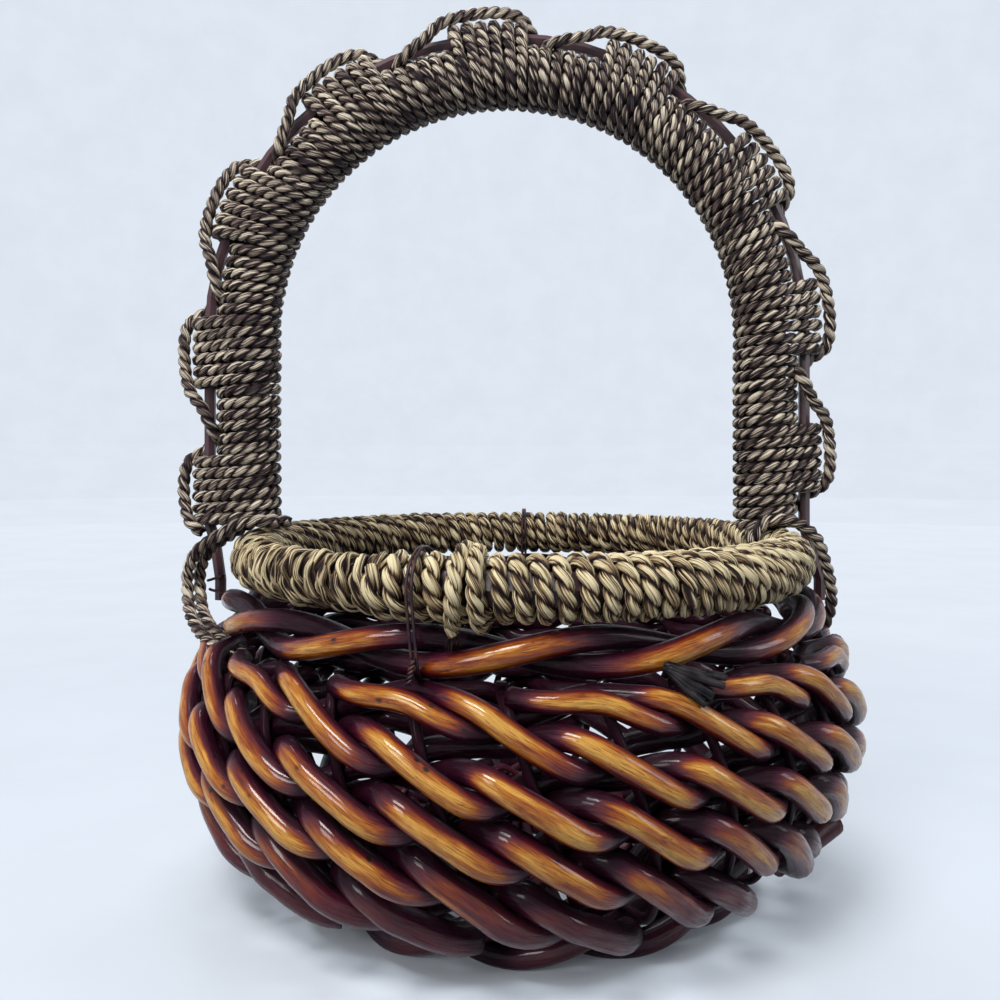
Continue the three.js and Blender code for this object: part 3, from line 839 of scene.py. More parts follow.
@dataclass(frozen=True)
class RodFinish(Finish):
    """Stained and varnished rattan, dark in the hollows with stain and painted shade, and amber where
    rubbing has bared the crests.

    Attributes:
        scale: Colours from the darkest hollow, with painted shade, to the brightest crest, with their
            places.
        bud: Colour of knots and specks.
        dusty_hollow: Colour of dust in a hollow, darkened with painted shade.
        dusty_crest: Colour of dust on a crest.
        dust: How much dust lies on it.
        gloss: Weight of the varnish.
    """

    scale: tuple = (
        (0.0, (0.009, 0.001, 0.005)),
        (0.22, (0.036, 0.002, 0.013)),
        (0.42, (0.082, 0.005, 0.012)),
        (0.56, (0.150, 0.014, 0.004)),
        (0.71, (0.290, 0.058, 0.003)),
        (0.86, (0.440, 0.150, 0.010)),
        (1.0, (0.640, 0.330, 0.060)),
    )
    bud: tuple = (0.010, 0.004, 0.004)
    dusty_hollow: tuple = (0.030, 0.021, 0.026)
    dusty_crest: tuple = (0.230, 0.160, 0.135)
    dust: float = 0.36
    gloss: float = 0.85

    def dress(self, pad: NodePad, surface: Node) -> None:
        """Stains the rod by its rubbing and painted shade, dusts it and varnishes what the dust leaves
        bare.

        Args:
            pad: The material's pad.
            surface: Its shader.
        """
        bark = Effects.place(pad, Effect.BARK, {"Seed": self.seed}).outputs
        wear_and_shade = pad.node("Attribute", attribute_name="wear_and_shade").outputs["Fac"]
        blotch = pad.math("MULTIPLY_ADD", bark["Blotches"], 1.1, -0.55)
        streak = pad.math("MULTIPLY_ADD", bark["Streaks"], 0.30, -0.15)
        open_grain = pad.range(wear_and_shade, 0.25, 0.7)
        mottle = pad.math("MULTIPLY", pad.math("ADD", blotch, streak), open_grain)
        line = pad.math("MULTIPLY", bark["Lines"], -0.22)
        place = pad.math("ADD", wear_and_shade, pad.math("ADD", mottle, line), clamp=True)
        # the stain scale also paints shade into the hollows
        stain_and_shade = pad.mix(bark["Buds"], pad.ramp(place, self.scale), self.bud)
        dust = Effects.place(pad, Effect.DUST, {"Amount": self.dust}).outputs["Dust"]
        lies = pad.math("MULTIPLY", dust, pad.range(wear_and_shade, 0.8, 0.3, (0.35, 1.0)))
        # the dust colour follows the same values, so dust in the hollows is darkened as painted shade
        grey = pad.mix(wear_and_shade, self.dusty_hollow, self.dusty_crest)
        rough = pad.math("MULTIPLY_ADD", bark["Streaks"], 0.4, 0.18)
        bare = pad.math("SUBTRACT", 1.0, pad.math("MULTIPLY", lies, 1.6), clamp=True)
        patchy = pad.range(bark["Streaks"], 0.66, 0.4, (0.35, 1.0))
        # coat weight falls in the hollows, so their reflections are dimmed as painted shade
        shine = pad.range(wear_and_shade, 0.1, 0.55, (0.28 * self.gloss, self.gloss))
        pad.plug(surface, {
            "Base Color": pad.mix(lies, stain_and_shade, grey),
            "Roughness": pad.math("MULTIPLY_ADD", lies, 0.5, rough),
            "Coat Weight": pad.math("MULTIPLY", pad.math("MULTIPLY", bare, patchy), shine),
            "Coat Roughness": 0.12,
            "Specular IOR Level": 0.08,
            "Normal": pad.bump(bark["Height"], strength=0.6, distance=0.0006),
        })


@dataclass(frozen=True)
class RopeFinish(Finish):
    """Twisted grass rope, straw and dark dyed leaves mixed in each ply.

    Attributes:
        dark: Colour of the dyed leaves.
        brown: Colour between.
        straw: Colour of the plain leaves.
        pale: Colour of the palest leaves.
        lean: How far the mix leans to the plain leaves.
    """

    dark: tuple = (0.008, 0.003, 0.006)
    brown: tuple = (0.064, 0.036, 0.042)
    straw: tuple = (0.330, 0.260, 0.200)
    pale: tuple = (0.860, 0.770, 0.620)
    lean: float = 0.0

    def dress(self, pad: NodePad, surface: Node) -> None:
        """Colours the leaves by dye and fibre, pale on the crests of the plies, with painted shade in the
        seams between them and in the creases.

        Args:
            pad: The material's pad.
            surface: Its shader.
        """
        fibres = Effects.place(pad, Effect.FIBRES, {"Seed": self.seed}).outputs
        wear_and_shade = pad.node("Attribute", attribute_name="wear_and_shade").outputs["Fac"]
        crest = pad.node("Attribute", attribute_name="crest").outputs["Fac"]
        dye = pad.math("MULTIPLY_ADD", fibres["Dye"], 1.4, self.lean - 0.50)
        fine = pad.math("MULTIPLY_ADD", fibres["Fibres"], 1.3, -0.65)
        strips = pad.math("MULTIPLY_ADD", fibres["Strips"], 2.2, -1.1)
        # creases are sunk by the bump and also painted darker as shade
        streaks = pad.math("ADD", fine, pad.math("MULTIPLY_ADD", fibres["Creases"], -0.45, strips))
        # painted shade: seams between plies and grooves between turns darker, crests paler
        stands = pad.math("MULTIPLY_ADD", crest, 0.85, pad.math("MULTIPLY_ADD", wear_and_shade, 0.3, -0.66))
        place = pad.math("ADD", pad.math("ADD", dye, streaks), stands)
        place = pad.math("MULTIPLY_ADD", place, 1.42, -0.17, clamp=True)
        stops = ((0.0, self.dark), (0.36, self.brown), (0.68, self.straw), (1.0, self.pale))
        pad.plug(surface, {
            "Base Color": pad.ramp(place, stops),
            "Roughness": pad.math("MULTIPLY_ADD", fibres["Fibres"], 0.4, 0.28),
            "Specular IOR Level": 0.22,
            "Normal": pad.bump(fibres["Height"], strength=0.9, distance=0.0008),
        })


@dataclass(frozen=True)
class CaneFinish(Finish):
    """Cane that is hidden, or has a stain that makes it nearly black.

    Attributes:
        light: The paler streaks.
        deep: The stain.
    """

    light: tuple = (0.036, 0.014, 0.020)
    deep: tuple = (0.009, 0.004, 0.007)

    def dress(self, pad: NodePad, surface: Node) -> None:
        """Streaks the stain with fine grain.

        Args:
            pad: The material's pad.
            surface: Its shader.
        """
        place = pad.node("TexCoord").outputs["Object"]
        grain = pad.noise(place, 260.0, 4.0)
        cloud = pad.noise(place, 40.0, 2.0)
        share = pad.math("MULTIPLY", pad.range(grain, 0.35, 0.7), pad.range(cloud, 0.3, 0.7))
        pad.plug(surface, {
            "Base Color": pad.mix(share, self.deep, self.light),
            "Roughness": pad.range(grain, 0.2, 0.8, (0.35, 0.55)),
            "Specular IOR Level": 0.2,
            "Normal": pad.bump(grain, strength=0.3, distance=0.0004),
        })


@dataclass(frozen=True)
class WireFinish(Finish):
    """Dark annealed wire.

    Attributes:
        dark: Its colour.
        rust: Colour of its rust.
    """

    dark: tuple = (0.035, 0.022, 0.030)
    rust: tuple = (0.11, 0.05, 0.035)

    def dress(self, pad: NodePad, surface: Node) -> None:
        """Spots the wire with rust.

        Args:
            pad: The material's pad.
            surface: Its shader.
        """
        spots = pad.noise(pad.node("TexCoord").outputs["Object"], 320.0, 3.0)
        pad.plug(surface, {
            "Base Color": pad.mix(pad.range(spots, 0.45, 0.7), self.dark, self.rust),
            "Roughness": pad.range(spots, 0.3, 0.7, (0.28, 0.6)),
            "Metallic": 0.85,
        })


@dataclass(frozen=True)
class RoomFinish(Finish):
    """Floor and backdrop, which shows as its own colour away from the basket.

    Attributes:
        colour: Its colour.
        near: Distance in metres up to which it takes light and shadow.
        far: Distance from which it only shows its colour.
    """

    colour: tuple = (0.735, 0.80, 0.89)
    near: float = 0.16
    far: float = 0.7

    def dress(self, pad: NodePad, surface: Node) -> None:
        """Takes light and shadow near the basket, and glows in its own colour further off.

        Args:
            pad: The material's pad.
            surface: Its shader.
        """
        place = pad.node("TexCoord").outputs["Object"]
        cloud = pad.noise(place, 9.0, 6.0, 0.6)
        deep = tuple(0.965 * c for c in self.colour)
        colour = pad.mix(pad.range(cloud, 0.3, 0.7), deep, self.colour)
        away = pad.node("VectorMath", {0: place}, operation="LENGTH").outputs["Value"]
        under = pad.range(away, 0.5 * self.near, self.near, (0.05, 0.7))
        share = pad.math("ADD", under, pad.range(away, self.near, self.far, (0.0, 0.3)))
        rays = pad.node("LightPath").outputs
        seen = pad.math("MAXIMUM", rays["Is Camera Ray"], rays["Is Glossy Ray"])
        seen = pad.math("MAXIMUM", seen, rays["Is Transmission Ray"])
        black = (0.0, 0.0, 0.0)
        pad.plug(surface, {
            "Base Color": pad.mix(share, colour, black),
            "Emission Color": pad.mix(pad.math("MULTIPLY", share, seen), black, colour),
            "Emission Strength": 1.0,
            "Roughness": 0.7,
            "Specular IOR Level": 0.2,
        })


WEAVE = RodFinish("weave_rattan", "rattan_rod")
BORDER = RodFinish("border_rattan", "rattan_border", seed=31.0)
STAKE = RodFinish("stake_rattan", "rattan_spoke", seed=57.0, gloss=0.3)
CANE = CaneFinish("dark_cane", "dark_cane")
CHARRED = CaneFinish("charred_rattan", "dark_cane", light=(0.032, 0.025, 0.029), deep=(0.004, 0.003, 0.004))
HANDLE_ROPE = RopeFinish("handle_seagrass", "seagrass_rope", seed=3.0)
RIM_ROPE = RopeFinish(
    "rim_seagrass",
    "straw_rope",
    seed=11.0,
    lean=0.17,
    dark=(0.009, 0.003, 0.003),
    brown=(0.074, 0.034, 0.026),
    straw=(0.44, 0.31, 0.15),
    pale=(0.92, 0.80, 0.52),
)
WIRE = WireFinish("tie_wire", "wire")
ROOM = RoomFinish("pale_room", "room")


# The bowl


@dataclass(frozen=True)
class RodWearShade:
    """How a rod of the bowl is lightened by rubbing, most on what stands out and faces out, with painted
    shade in its recesses, on what faces in and towards the foot.

    Attributes:
        hollow: Value in the hollows, dark with stain and painted shade.
        crest: What a crest has more.
        foot_shade: What it has less at the foot, which paints shade towards the bottom.
        depths: Depths at which the crests end and the hollows begin.
        foot_shade_heights: Heights at which the painted shade at the foot begins and is full.
        sideways: Share of a crest's lightening that what faces away still has.
        facings: How far outwards a face looks where the lightening begins and is full.
    """

    hollow: float
    crest: float
    foot_shade: float
    depths: tuple
    foot_shade_heights: tuple
    sideways: float
    facings: tuple

    def at(self, points: Array, normals: Array, depth: Array) -> Array:
        """Rubbing and painted shade at points.

        Args:
            points: Points in drawing millimetres.
            normals: Their normals.
            depth: How far they lie inside the outer side.

        Returns:
            Values from 0, dark with stain and painted shade, to 1, bared by rubbing.
        """
        outward = unit(points * np.array([1.0, 1.0, 0.0]))
        facing = smoothstep(*self.facings, np.sum(normals * outward, axis=1))
        # painted shade: darker towards the foot
        low = smoothstep(*self.foot_shade_heights, points[:, 2])
        # lighter on outward crests; recesses and inward faces darker with stain and painted shade
        rubbed_unshaded = (1 - smoothstep(*self.depths, depth)) * (self.sideways + (1 - self.sideways) * facing)
        return np.clip(self.hollow + (self.crest - self.foot_shade * low) * rubbed_unshaded, 0, 1)


@dataclass
class Bowl:
    """The bowl's form and its rods, in millimetres.

    Attributes:
        drawing: Where the basket is drawn.
        foot_radius: Outer side of the foot ring.
        belly_radius: Widest radius.
        belly_height: Height of the widest place.
        neck_radius: Radius at the neck.
        neck_height: Height of the neck.
        spokes: Number of spokes.
        spoke_thickness: Thickness of a spoke.
        stake_lean: Degrees that a stake leans from one row to the next.
        slath_half: How far from the middle the crossed spokes lie parallel.
        fan_radius: Where they have spread to their own directions.
        top_row_height: Height of the top row of strokes.
        row_drop: Height from one row to the next.
        rows: Rows of strokes.
        first_stroke: Degrees from the front to the middle of a stroke in the top row.
        rod_tip: Thickness of a rod at its tip.
        rod_butt: Thickness at its butt.
        weave_gap: Gap between packed rods, which the real ones don't have.
        stroke_rise: Half of what a stroke falls by beyond the rows' own fall.
        ceiling: Underside of the border, under which the rods begin.
        wear_shading: How its rods are lightened by rubbing and darkened with painted shade.
    """

    drawing: Drawing
    foot_radius: float = 88.0
    belly_radius: float = 127.0
    belly_height: float = 66.0
    neck_radius: float = 109.0
    neck_height: float = 108.0
    spokes: int = 13
    spoke_thickness: float = 3.2
    stake_lean: float = 1.65
    slath_half: float = 16.0
    fan_radius: float = 38.0
    top_row_height: float = 90.0
    row_drop: float = 9.3
    rows: int = 8
    first_stroke: float = 10.3
    rod_tip: float = 6.5
    rod_butt: float = 9.2
    weave_gap: float = 0.45
    stroke_rise: float = 7.4
    ceiling: float = 92.7
    wear_shading: RodWearShade = RodWearShade(
        hollow=0.09, crest=0.84, foot_shade=0.54, depths=(0.5, 5.6), foot_shade_heights=(48, 22),
        sideways=0.35, facings=(-0.1, 0.85),
    )

    @property
    def stake_step(self) -> float:
        """Degrees from one stake to the next."""
        return 180 / self.spokes

    @property
    def wave(self) -> float:
        """Degrees from one stroke of a rod to its next."""
        return 3 * self.stake_step + self.stake_lean

    @property
    def rod_span(self) -> tuple[float, float]:
        """Angles at a rod's tip and at its butt, counted from its first stroke."""
        tip_lead, butt_short = 0.3, 0.75
        return -tip_lead * self.wave, (self.rows - butt_short) * self.wave

    @property
    def ring_gap(self) -> float:
        """Gap between the two rounds of a packed twisted ring."""
        return 1.5 * self.weave_gap

    def ring_half(self, thickness: float) -> float:
        """Half the height of a ring twisted from a rod of this thickness."""
        return thickness + self.ring_gap / 2

    def radius(self, height: Array) -> Array:
        """Radius of the bowl's outer side.

        Args:
            height: Heights in millimetres.

        Returns:
            The radius at each height.
        """
        height = np.asarray(height, float)
        low = np.clip((self.belly_height - height) / self.belly_height, 0, None)
        high = np.clip((height - self.belly_height) / (self.neck_height - self.belly_height), 0, None)
        foot = (self.belly_radius - self.foot_radius) * low**2
        neck = (self.belly_radius - self.neck_radius) * high**1.4
        return self.belly_radius - foot - neck

    def rod_radius(self, angle: Array) -> Array:
        """Radius of a tapering rod.

        Args:
            angle: Angles along it, counted from its first stroke.

        Returns:
            Its radius at each angle.
        """
        first, last = self.rod_span
        share = np.clip((np.asarray(angle) - first) / (last - first), 0, 1)
        return (self.rod_tip + (self.rod_butt - self.rod_tip) * share) / 2

    def stake_angle(self, stake: int, height: Array) -> Array:
        """Angle of a stake at a height."""
        rise = (self.top_row_height - np.asarray(height, float)) / self.row_drop
        return self.first_stroke + stake * self.stake_step + self.stake_lean * rise

    def stake_radius(self, height: Array) -> Array:
        """Radius at which the stakes stand behind the strokes.

        Args:
            height: Heights in millimetres.

        Returns:
            The radius at each height.
        """
        along = (self.top_row_height - np.asarray(height, float)) / self.row_drop * self.wave
        behind = 2 * self.rod_radius(along) + self.spoke_thickness / 2 + self.weave_gap
        return self.radius(height) - behind

    def rod_angles(self, steps: int) -> Array:
        """Angles along a rod, counted from its first stroke.

        Args:
            steps: Places in each of its waves.

        Returns:
            Even angles from the rod's tip to its butt.
        """
        first, last = self.rod_span
        return np.linspace(first, last, round((last - first) / self.wave * steps) + 1)

    def loose_course(self, angles: Array) -> Array:
        """A rod's course before it is pressed against the others.

        Args:
            angles: Angles along the rod.

        Returns:
            Radius and height at each angle: outside and falling at each stroke, inside and
            rising between them.
        """
        phase = math.tau * angles / self.wave
        straight, soft, steep, outside_more, clear = 0.82, 1.5, 1.6, 0.12, 0.3
        slant = np.arcsin(straight * np.sin(phase)) / np.arcsin(straight)
        height = self.top_row_height - self.row_drop * angles / self.wave - self.stroke_rise * slant
        thick = self.rod_radius(angles)
        room = self.ceiling - thick - height
        height = self.ceiling - thick - soft * np.log1p(np.exp(room / soft))
        inside = 0.5 - 0.5 * np.tanh(steep * (np.cos(phase) + outside_more)) / np.tanh(1.8)
        swing = (2 * thick + self.spoke_thickness + clear) * np.clip(inside, 0, 1)
        return np.stack([self.radius(height) - thick - swing, height], axis=1)

    def stake_lines(self) -> list[tuple[Array, float]]:
        """The stakes' lines where the rods press on them.

        Returns:
            Each stake's points and its radius.
        """
        heights = np.linspace(26, 84, 8)
        lines = []
        for stake in range(2 * self.spokes):
            line = polar(self.stake_angle(stake, heights), self.stake_radius(heights), heights)
            lines.append((line, self.spoke_thickness / 2))
        return lines

    def course(self, steps: int = 18, rounds: int = 70, last_rounds: int = 14) -> Path:
        """The course of the first rod, pressed against the other rods and the stakes.

        All rods have the same course, so each round of pressing moves this one away from the
        others as they now lie, and spreads the push along it as a stiff rod would. A rod gives
        way by half of what it lacks, as its neighbour gives way by the other half, and a stake
        doesn't give way.

        Args:
            steps: Places in each of the rod's waves.
            rounds: Rounds of pressing.
            last_rounds: Rounds at the end in which the push isn't spread.

        Returns:
            Its line and thickness.
        """
        angles = self.rod_angles(steps)
        thick = self.rod_radius(angles)
        loose = self.loose_course(angles)
        lies = loose.copy()
        turn = self.first_stroke + angles
        outward = polar(turn, 1.0, 0.0)
        blocks = self.stake_lines()
        block_starts = np.vstack([line[:-1] for line, _ in blocks])
        block_ends = np.vstack([line[1:] for line, _ in blocks])
        block_thick = np.concatenate([np.full(len(line) - 1, r) for line, r in blocks])
        for step in range(rounds):
            own = polar(turn, lies[:, 0], lies[:, 1])
            others = [
                polar(turn + 2 * rod * self.stake_step, lies[:, 0], lies[:, 1])
                for rod in range(1, self.spokes)
            ]
            starts = np.vstack([o[:-1] for o in others] + [block_starts])
            spans = np.vstack([o[1:] for o in others] + [block_ends]) - starts
            rod_thick = np.tile((thick[:-1] + thick[1:]) / 2, self.spokes - 1)
            other_thick = np.concatenate([rod_thick, block_thick])
            yields = np.concatenate([np.full(len(rod_thick), 0.5), np.ones(len(block_thick))])
            relative = own[:, None, :] - starts
            share = np.clip(np.sum(relative * spans, axis=2) / np.sum(spans * spans, axis=1), 0, 1)
            apart = relative - share[..., None] * spans
            distance = np.maximum(np.linalg.norm(apart, axis=2), 1e-6)
            lack = np.clip(thick[:, None] + other_thick - distance, 0, None)
            push = np.sum((lack * yields / distance)[..., None] * apart, axis=1)
            push /= np.maximum(0.6 * np.count_nonzero(lack, axis=1), 1)[:, None]
            lies[:, 0] += np.sum(push * outward, axis=1)
            lies[:, 1] += push[:, 2]
            if step < rounds - last_rounds:
                moved = lies - loose
                for _ in range(2):
                    padded = np.pad(moved, ((1, 1), (0, 0)), mode="edge")
                    moved = 0.25 * padded[:-2] + 0.5 * moved + 0.25 * padded[2:]
                lies = loose + moved
            lies[:, 1] = np.minimum(lies[:, 1], self.ceiling - thick)
        log.info("rods pressed together, %.2f mm of overlap left", lack.max())
        return Path(polar(turn, lies[:, 0], lies[:, 1]), thick)

    def depth(self, points: Array) -> Array:
        """How far points lie inside the bowl's outer side, in millimetres."""
        return self.radius(points[:, 2]) - np.hypot(points[:, 0], points[:, 1])

    def wear_and_shade(self, points: Array, normals: Array) -> Array:
        """Rubbing and painted shade of the wall's rods."""
        return self.wear_shading.at(points, normals, self.depth(points))


@dataclass
class Weave:
    """The wall's woven rods.

    Attributes:
        bowl: The bowl that they make.
        sides: Faces round a rod.
    """

    bowl: Bowl
    sides: int = 14

    def build(self) -> None:
        """Makes one piece for each rod."""
        course = self.bowl.course()
        log.info("rod course of %d rings, %.0f mm long", len(course.points), course.lengths()[-1])
        for rod in range(self.bowl.spokes):
            rng = random.Random(100 + rod)
            a = math.radians(rod * 2 * self.bowl.stake_step)
            turn = np.array([[math.cos(a), -math.sin(a), 0], [math.sin(a), math.cos(a), 0], [0, 0, 1]])
            line = Path(course.points @ turn.T, course.radii).smoothed(3)
            line = line.wavered(rng, amount=0.3, stretch=rng.uniform(60, 110), swell=0.03)
            shaper = Shaper(self.bowl.drawing)
            shaper.strand(line, self.sides, mark=rod)
            number = f"{rod + 1:02d}"
            shaper.piece(f"woven_rod_{number}", WEAVE, [f"weaver_rod_{number}"], self.bowl.wear_and_shade)


@dataclass
class TwistedRing:
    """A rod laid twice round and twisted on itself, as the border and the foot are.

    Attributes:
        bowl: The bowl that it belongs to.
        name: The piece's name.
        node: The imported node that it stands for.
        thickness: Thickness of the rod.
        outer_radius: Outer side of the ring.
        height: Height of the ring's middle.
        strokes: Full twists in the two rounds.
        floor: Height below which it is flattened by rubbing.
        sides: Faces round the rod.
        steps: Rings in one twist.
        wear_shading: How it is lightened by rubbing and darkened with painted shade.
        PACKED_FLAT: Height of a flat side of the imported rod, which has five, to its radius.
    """

    bowl: Bowl
    name: str
    node: str
    thickness: float
    outer_radius: float
    height: float
    strokes: int = 13
    floor: float | None = None
    sides: int = 14
    steps: int = 40
    wear_shading: RodWearShade = RodWearShade(
        hollow=0.07, crest=0.82, foot_shade=0.50, depths=(0.0, 6.0), foot_shade_heights=(60, 20),
        sideways=0.3, facings=(-0.2, 0.9),
    )

    PACKED_FLAT = math.cos(math.pi / 5)

    @property
    def turn_radius(self) -> float:
        """Distance of the rod's middle from the ring's middle."""
        return (self.thickness + self.bowl.ring_gap) / 2

    @property
    def middle(self) -> float:
        """Radius of the ring's middle line."""
        return self.outer_radius - self.thickness / 2 - self.turn_radius

    @property
    def packed_top(self) -> float:
        """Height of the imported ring's top."""
        return self.height + self.turn_radius + self.PACKED_FLAT * self.thickness / 2

    def line(self, seat: float) -> Path:
        """The rod's line, closed at the back after its second round.

        Args:
            seat: Angle at which its rounds lie over each other.

        Returns:
            The closed line.
        """
        count = self.strokes * self.steps
        i = np.arange(count)
        twist = math.tau * i / self.steps
        angle = seat + self.bowl.stake_step + 720 * i / count
        reach = self.turn_radius
        points = polar(angle, self.middle + reach * np.cos(twist), self.height + reach * np.sin(twist))
        points = np.roll(points, count // 4, axis=0)
        return Path(points, np.full(count, self.thickness / 2), closed=True)

    def build(self, seat: float, seed: int) -> None:
        """Makes the piece.

        Args:
            seat: Angle at which its rounds lie over each other.
            seed: Seed of the rod's unevenness.
        """
        rng = random.Random(seed)
        line = self.line(seat)
        shaper = Shaper(self.bowl.drawing)
        around = np.linspace(0, math.tau, len(line.points), endpoint=False)
        swell = 1 + 0.04 * np.sin(7 * around + rng.uniform(0, 6)) + 0.03 * np.sin(17 * around)
        shaper.strand(Path(line.points, line.radii * swell, closed=True), self.sides)
        if self.floor is not None:
            cut = Vector(self.bowl.drawing.to_frame([0, 0, self.floor]))
            bm = shaper.bm
            geometry = bm.verts[:] + bm.edges[:] + bm.faces[:]
            bmesh.ops.bisect_plane(bm, geom=geometry, plane_co=cut, plane_no=(0, 0, -1), clear_outer=True)
            bmesh.ops.holes_fill(bm, edges=[e for e in bm.edges if e.is_boundary])
        shaper.piece(self.name, BORDER, [self.node], self.wear_and_shade)

    def wear_and_shade(self, points: Array, normals: Array) -> Array:
        """Rubbing and painted shade of the ring."""
        return self.wear_shading.at(points, normals, self.outer_radius - np.hypot(points[:, 0], points[:, 1]))


@dataclass
class Base:
    """The spokes, whose ends stand up as stakes, and the flat reed woven between them.

    Attributes:
        bowl: The bowl that they carry.
        border_middle: Radius of the border's middle line.
        border_floor: Underside of the border.
        foot_top: Height of the foot ring's top.
        touch_gap: Gap between packed faces that touch.
        bend_rise: Height from the spokes to where the stakes begin to stand.
        reed_width: Width of the reed.
        reed_thickness: Its thickness.
        reed_pitch: Distance from one round of it to the next.
        reed_turns: Its rounds.
    """

    bowl: Bowl
    border_middle: float
    border_floor: float
    foot_top: float
    touch_gap: float = 0.3
    bend_rise: float = 9.0
    reed_width: float = 6.0
    reed_thickness: float = 1.6
    reed_pitch: float = 7.6
    reed_turns: int = 3

    @property
    def height(self) -> float:
        """Height of the spokes' middle lines."""
        return self.foot_top + self.touch_gap + self.bowl.spoke_thickness / 2 * math.sqrt(0.5)

    @property
    def stake_floor(self) -> float:
        """Height at which the stakes begin to stand."""
        return self.height + self.bend_rise

    def half(self, spoke: int, end: int) -> Array:
        """Half of a spoke, from the middle of the base out and up the wall.

        Args:
            spoke: The spoke's number from 0.
            end: Which of its ends, 0 or 1.

        Returns:
            Points in millimetres.
        """
        bowl = self.bowl
        lower = math.ceil(bowl.spokes / 2)
        below = spoke < lower
        middle = (lower - 1) / 2 if below else (lower + bowl.spokes - 1) / 2
        width = bowl.spoke_thickness + bowl.weave_gap
        lift = 0.0 if below else width
        offset = (spoke - middle) * width
        turn = float(bowl.stake_angle(0, self.stake_floor))
        group = turn + middle * bowl.stake_step + 180 * end
        slot = 2 * middle - spoke if end else spoke
        angle = turn + slot * bowl.stake_step + 180 * end
        aside = polar(group + 90, -offset if end else offset, 0)
        inner = [polar(group, s * bowl.slath_half, self.height + lift) + aside for s in (0.25, 0.85)]
        out = [bowl.fan_radius, 0.62 * bowl.foot_radius, 0.86 * bowl.foot_radius]
        base = [polar(angle, r, self.height) for r in out]
        base.append(polar(angle, bowl.stake_radius(self.stake_floor) - 5, self.height + 2.2))
        top = self.border_floor - self.touch_gap
        wall_top = top - 2.4 * bowl.spoke_thickness
        stake = slot + end * bowl.spokes
        wall_heights = np.linspace(self.stake_floor, wall_top, 5)
        wall = polar(bowl.stake_angle(stake, wall_heights), bowl.stake_radius(wall_heights), wall_heights)
        tip_heights = np.array([top - bowl.spoke_thickness, top])
        tip = polar(bowl.stake_angle(stake, top), self.border_middle, tip_heights)
        return np.vstack([inner, base, wall, tip])

    def build(self) -> None:
        """Makes the spokes and the reed."""
        for spoke in range(self.bowl.spokes):
            points = np.vstack([self.half(spoke, 1)[::-1], self.half(spoke, 0)])
            radius = self.bowl.spoke_thickness / 2
            line = Path(points, np.full(len(points), radius)).smoothed(6)
            shaper = Shaper(self.bowl.drawing)
            shaper.strand(line, 10, mark=spoke)
            number = f"{spoke + 1:02d}"
            shaper.piece(f"stake_pair_{number}", STAKE, [f"spoke_{number}"], self.bowl.wear_and_shade)
        self.build_reed()

    def build_reed(self) -> None:
        """Makes the flat reed, which goes over and under the spokes in turn."""
        bowl = self.bowl
        stakes = 2 * bowl.spokes
        count = self.reed_turns * stakes
        i = np.arange(count + 1)
        radius = bowl.fan_radius + self.reed_width / 2 + self.reed_pitch * i / stakes
        clear = bowl.spoke_thickness / 2 + self.reed_thickness / 2 + bowl.weave_gap
        side = np.where((i + i // stakes) % 2, 1.0, -1.0)
        angle = float(bowl.stake_angle(0, self.stake_floor)) + i * bowl.stake_step
        points = polar(angle, radius, self.height + side * clear)
        line = Path(points, np.ones(count + 1)).smoothed(6)
        shaper = Shaper(bowl.drawing)
        shaper.add(shaper.sweep(
            line,
            {"tilt": np.full(len(line.points), math.pi / 2)},
            twist_mode="Z_UP",
            extrude=(self.reed_width - self.reed_thickness) / 2 * MM,
            bevel_depth=self.reed_thickness / 2 * MM,
            bevel_resolution=1,
            use_fill_caps=True,
        ))
        shaper.piece("base_weaver", STAKE, ["base_reed"], even_wear(0.3))


# The rim and the handle


@dataclass(frozen=True)
class KnotTurn:
    """A turn of rope that crosses the rim at its knot.

    Attributes:
        shift: Where its middle lies along the rim.
        slant: How far its start leans from there along the rim.
        end: Degrees at which it ends, counted from the rim's outer side upwards.
        stand: How far its middle line lies outside the wound rim.
    """

    shift: float
    slant: float
    end: float
    stand: float


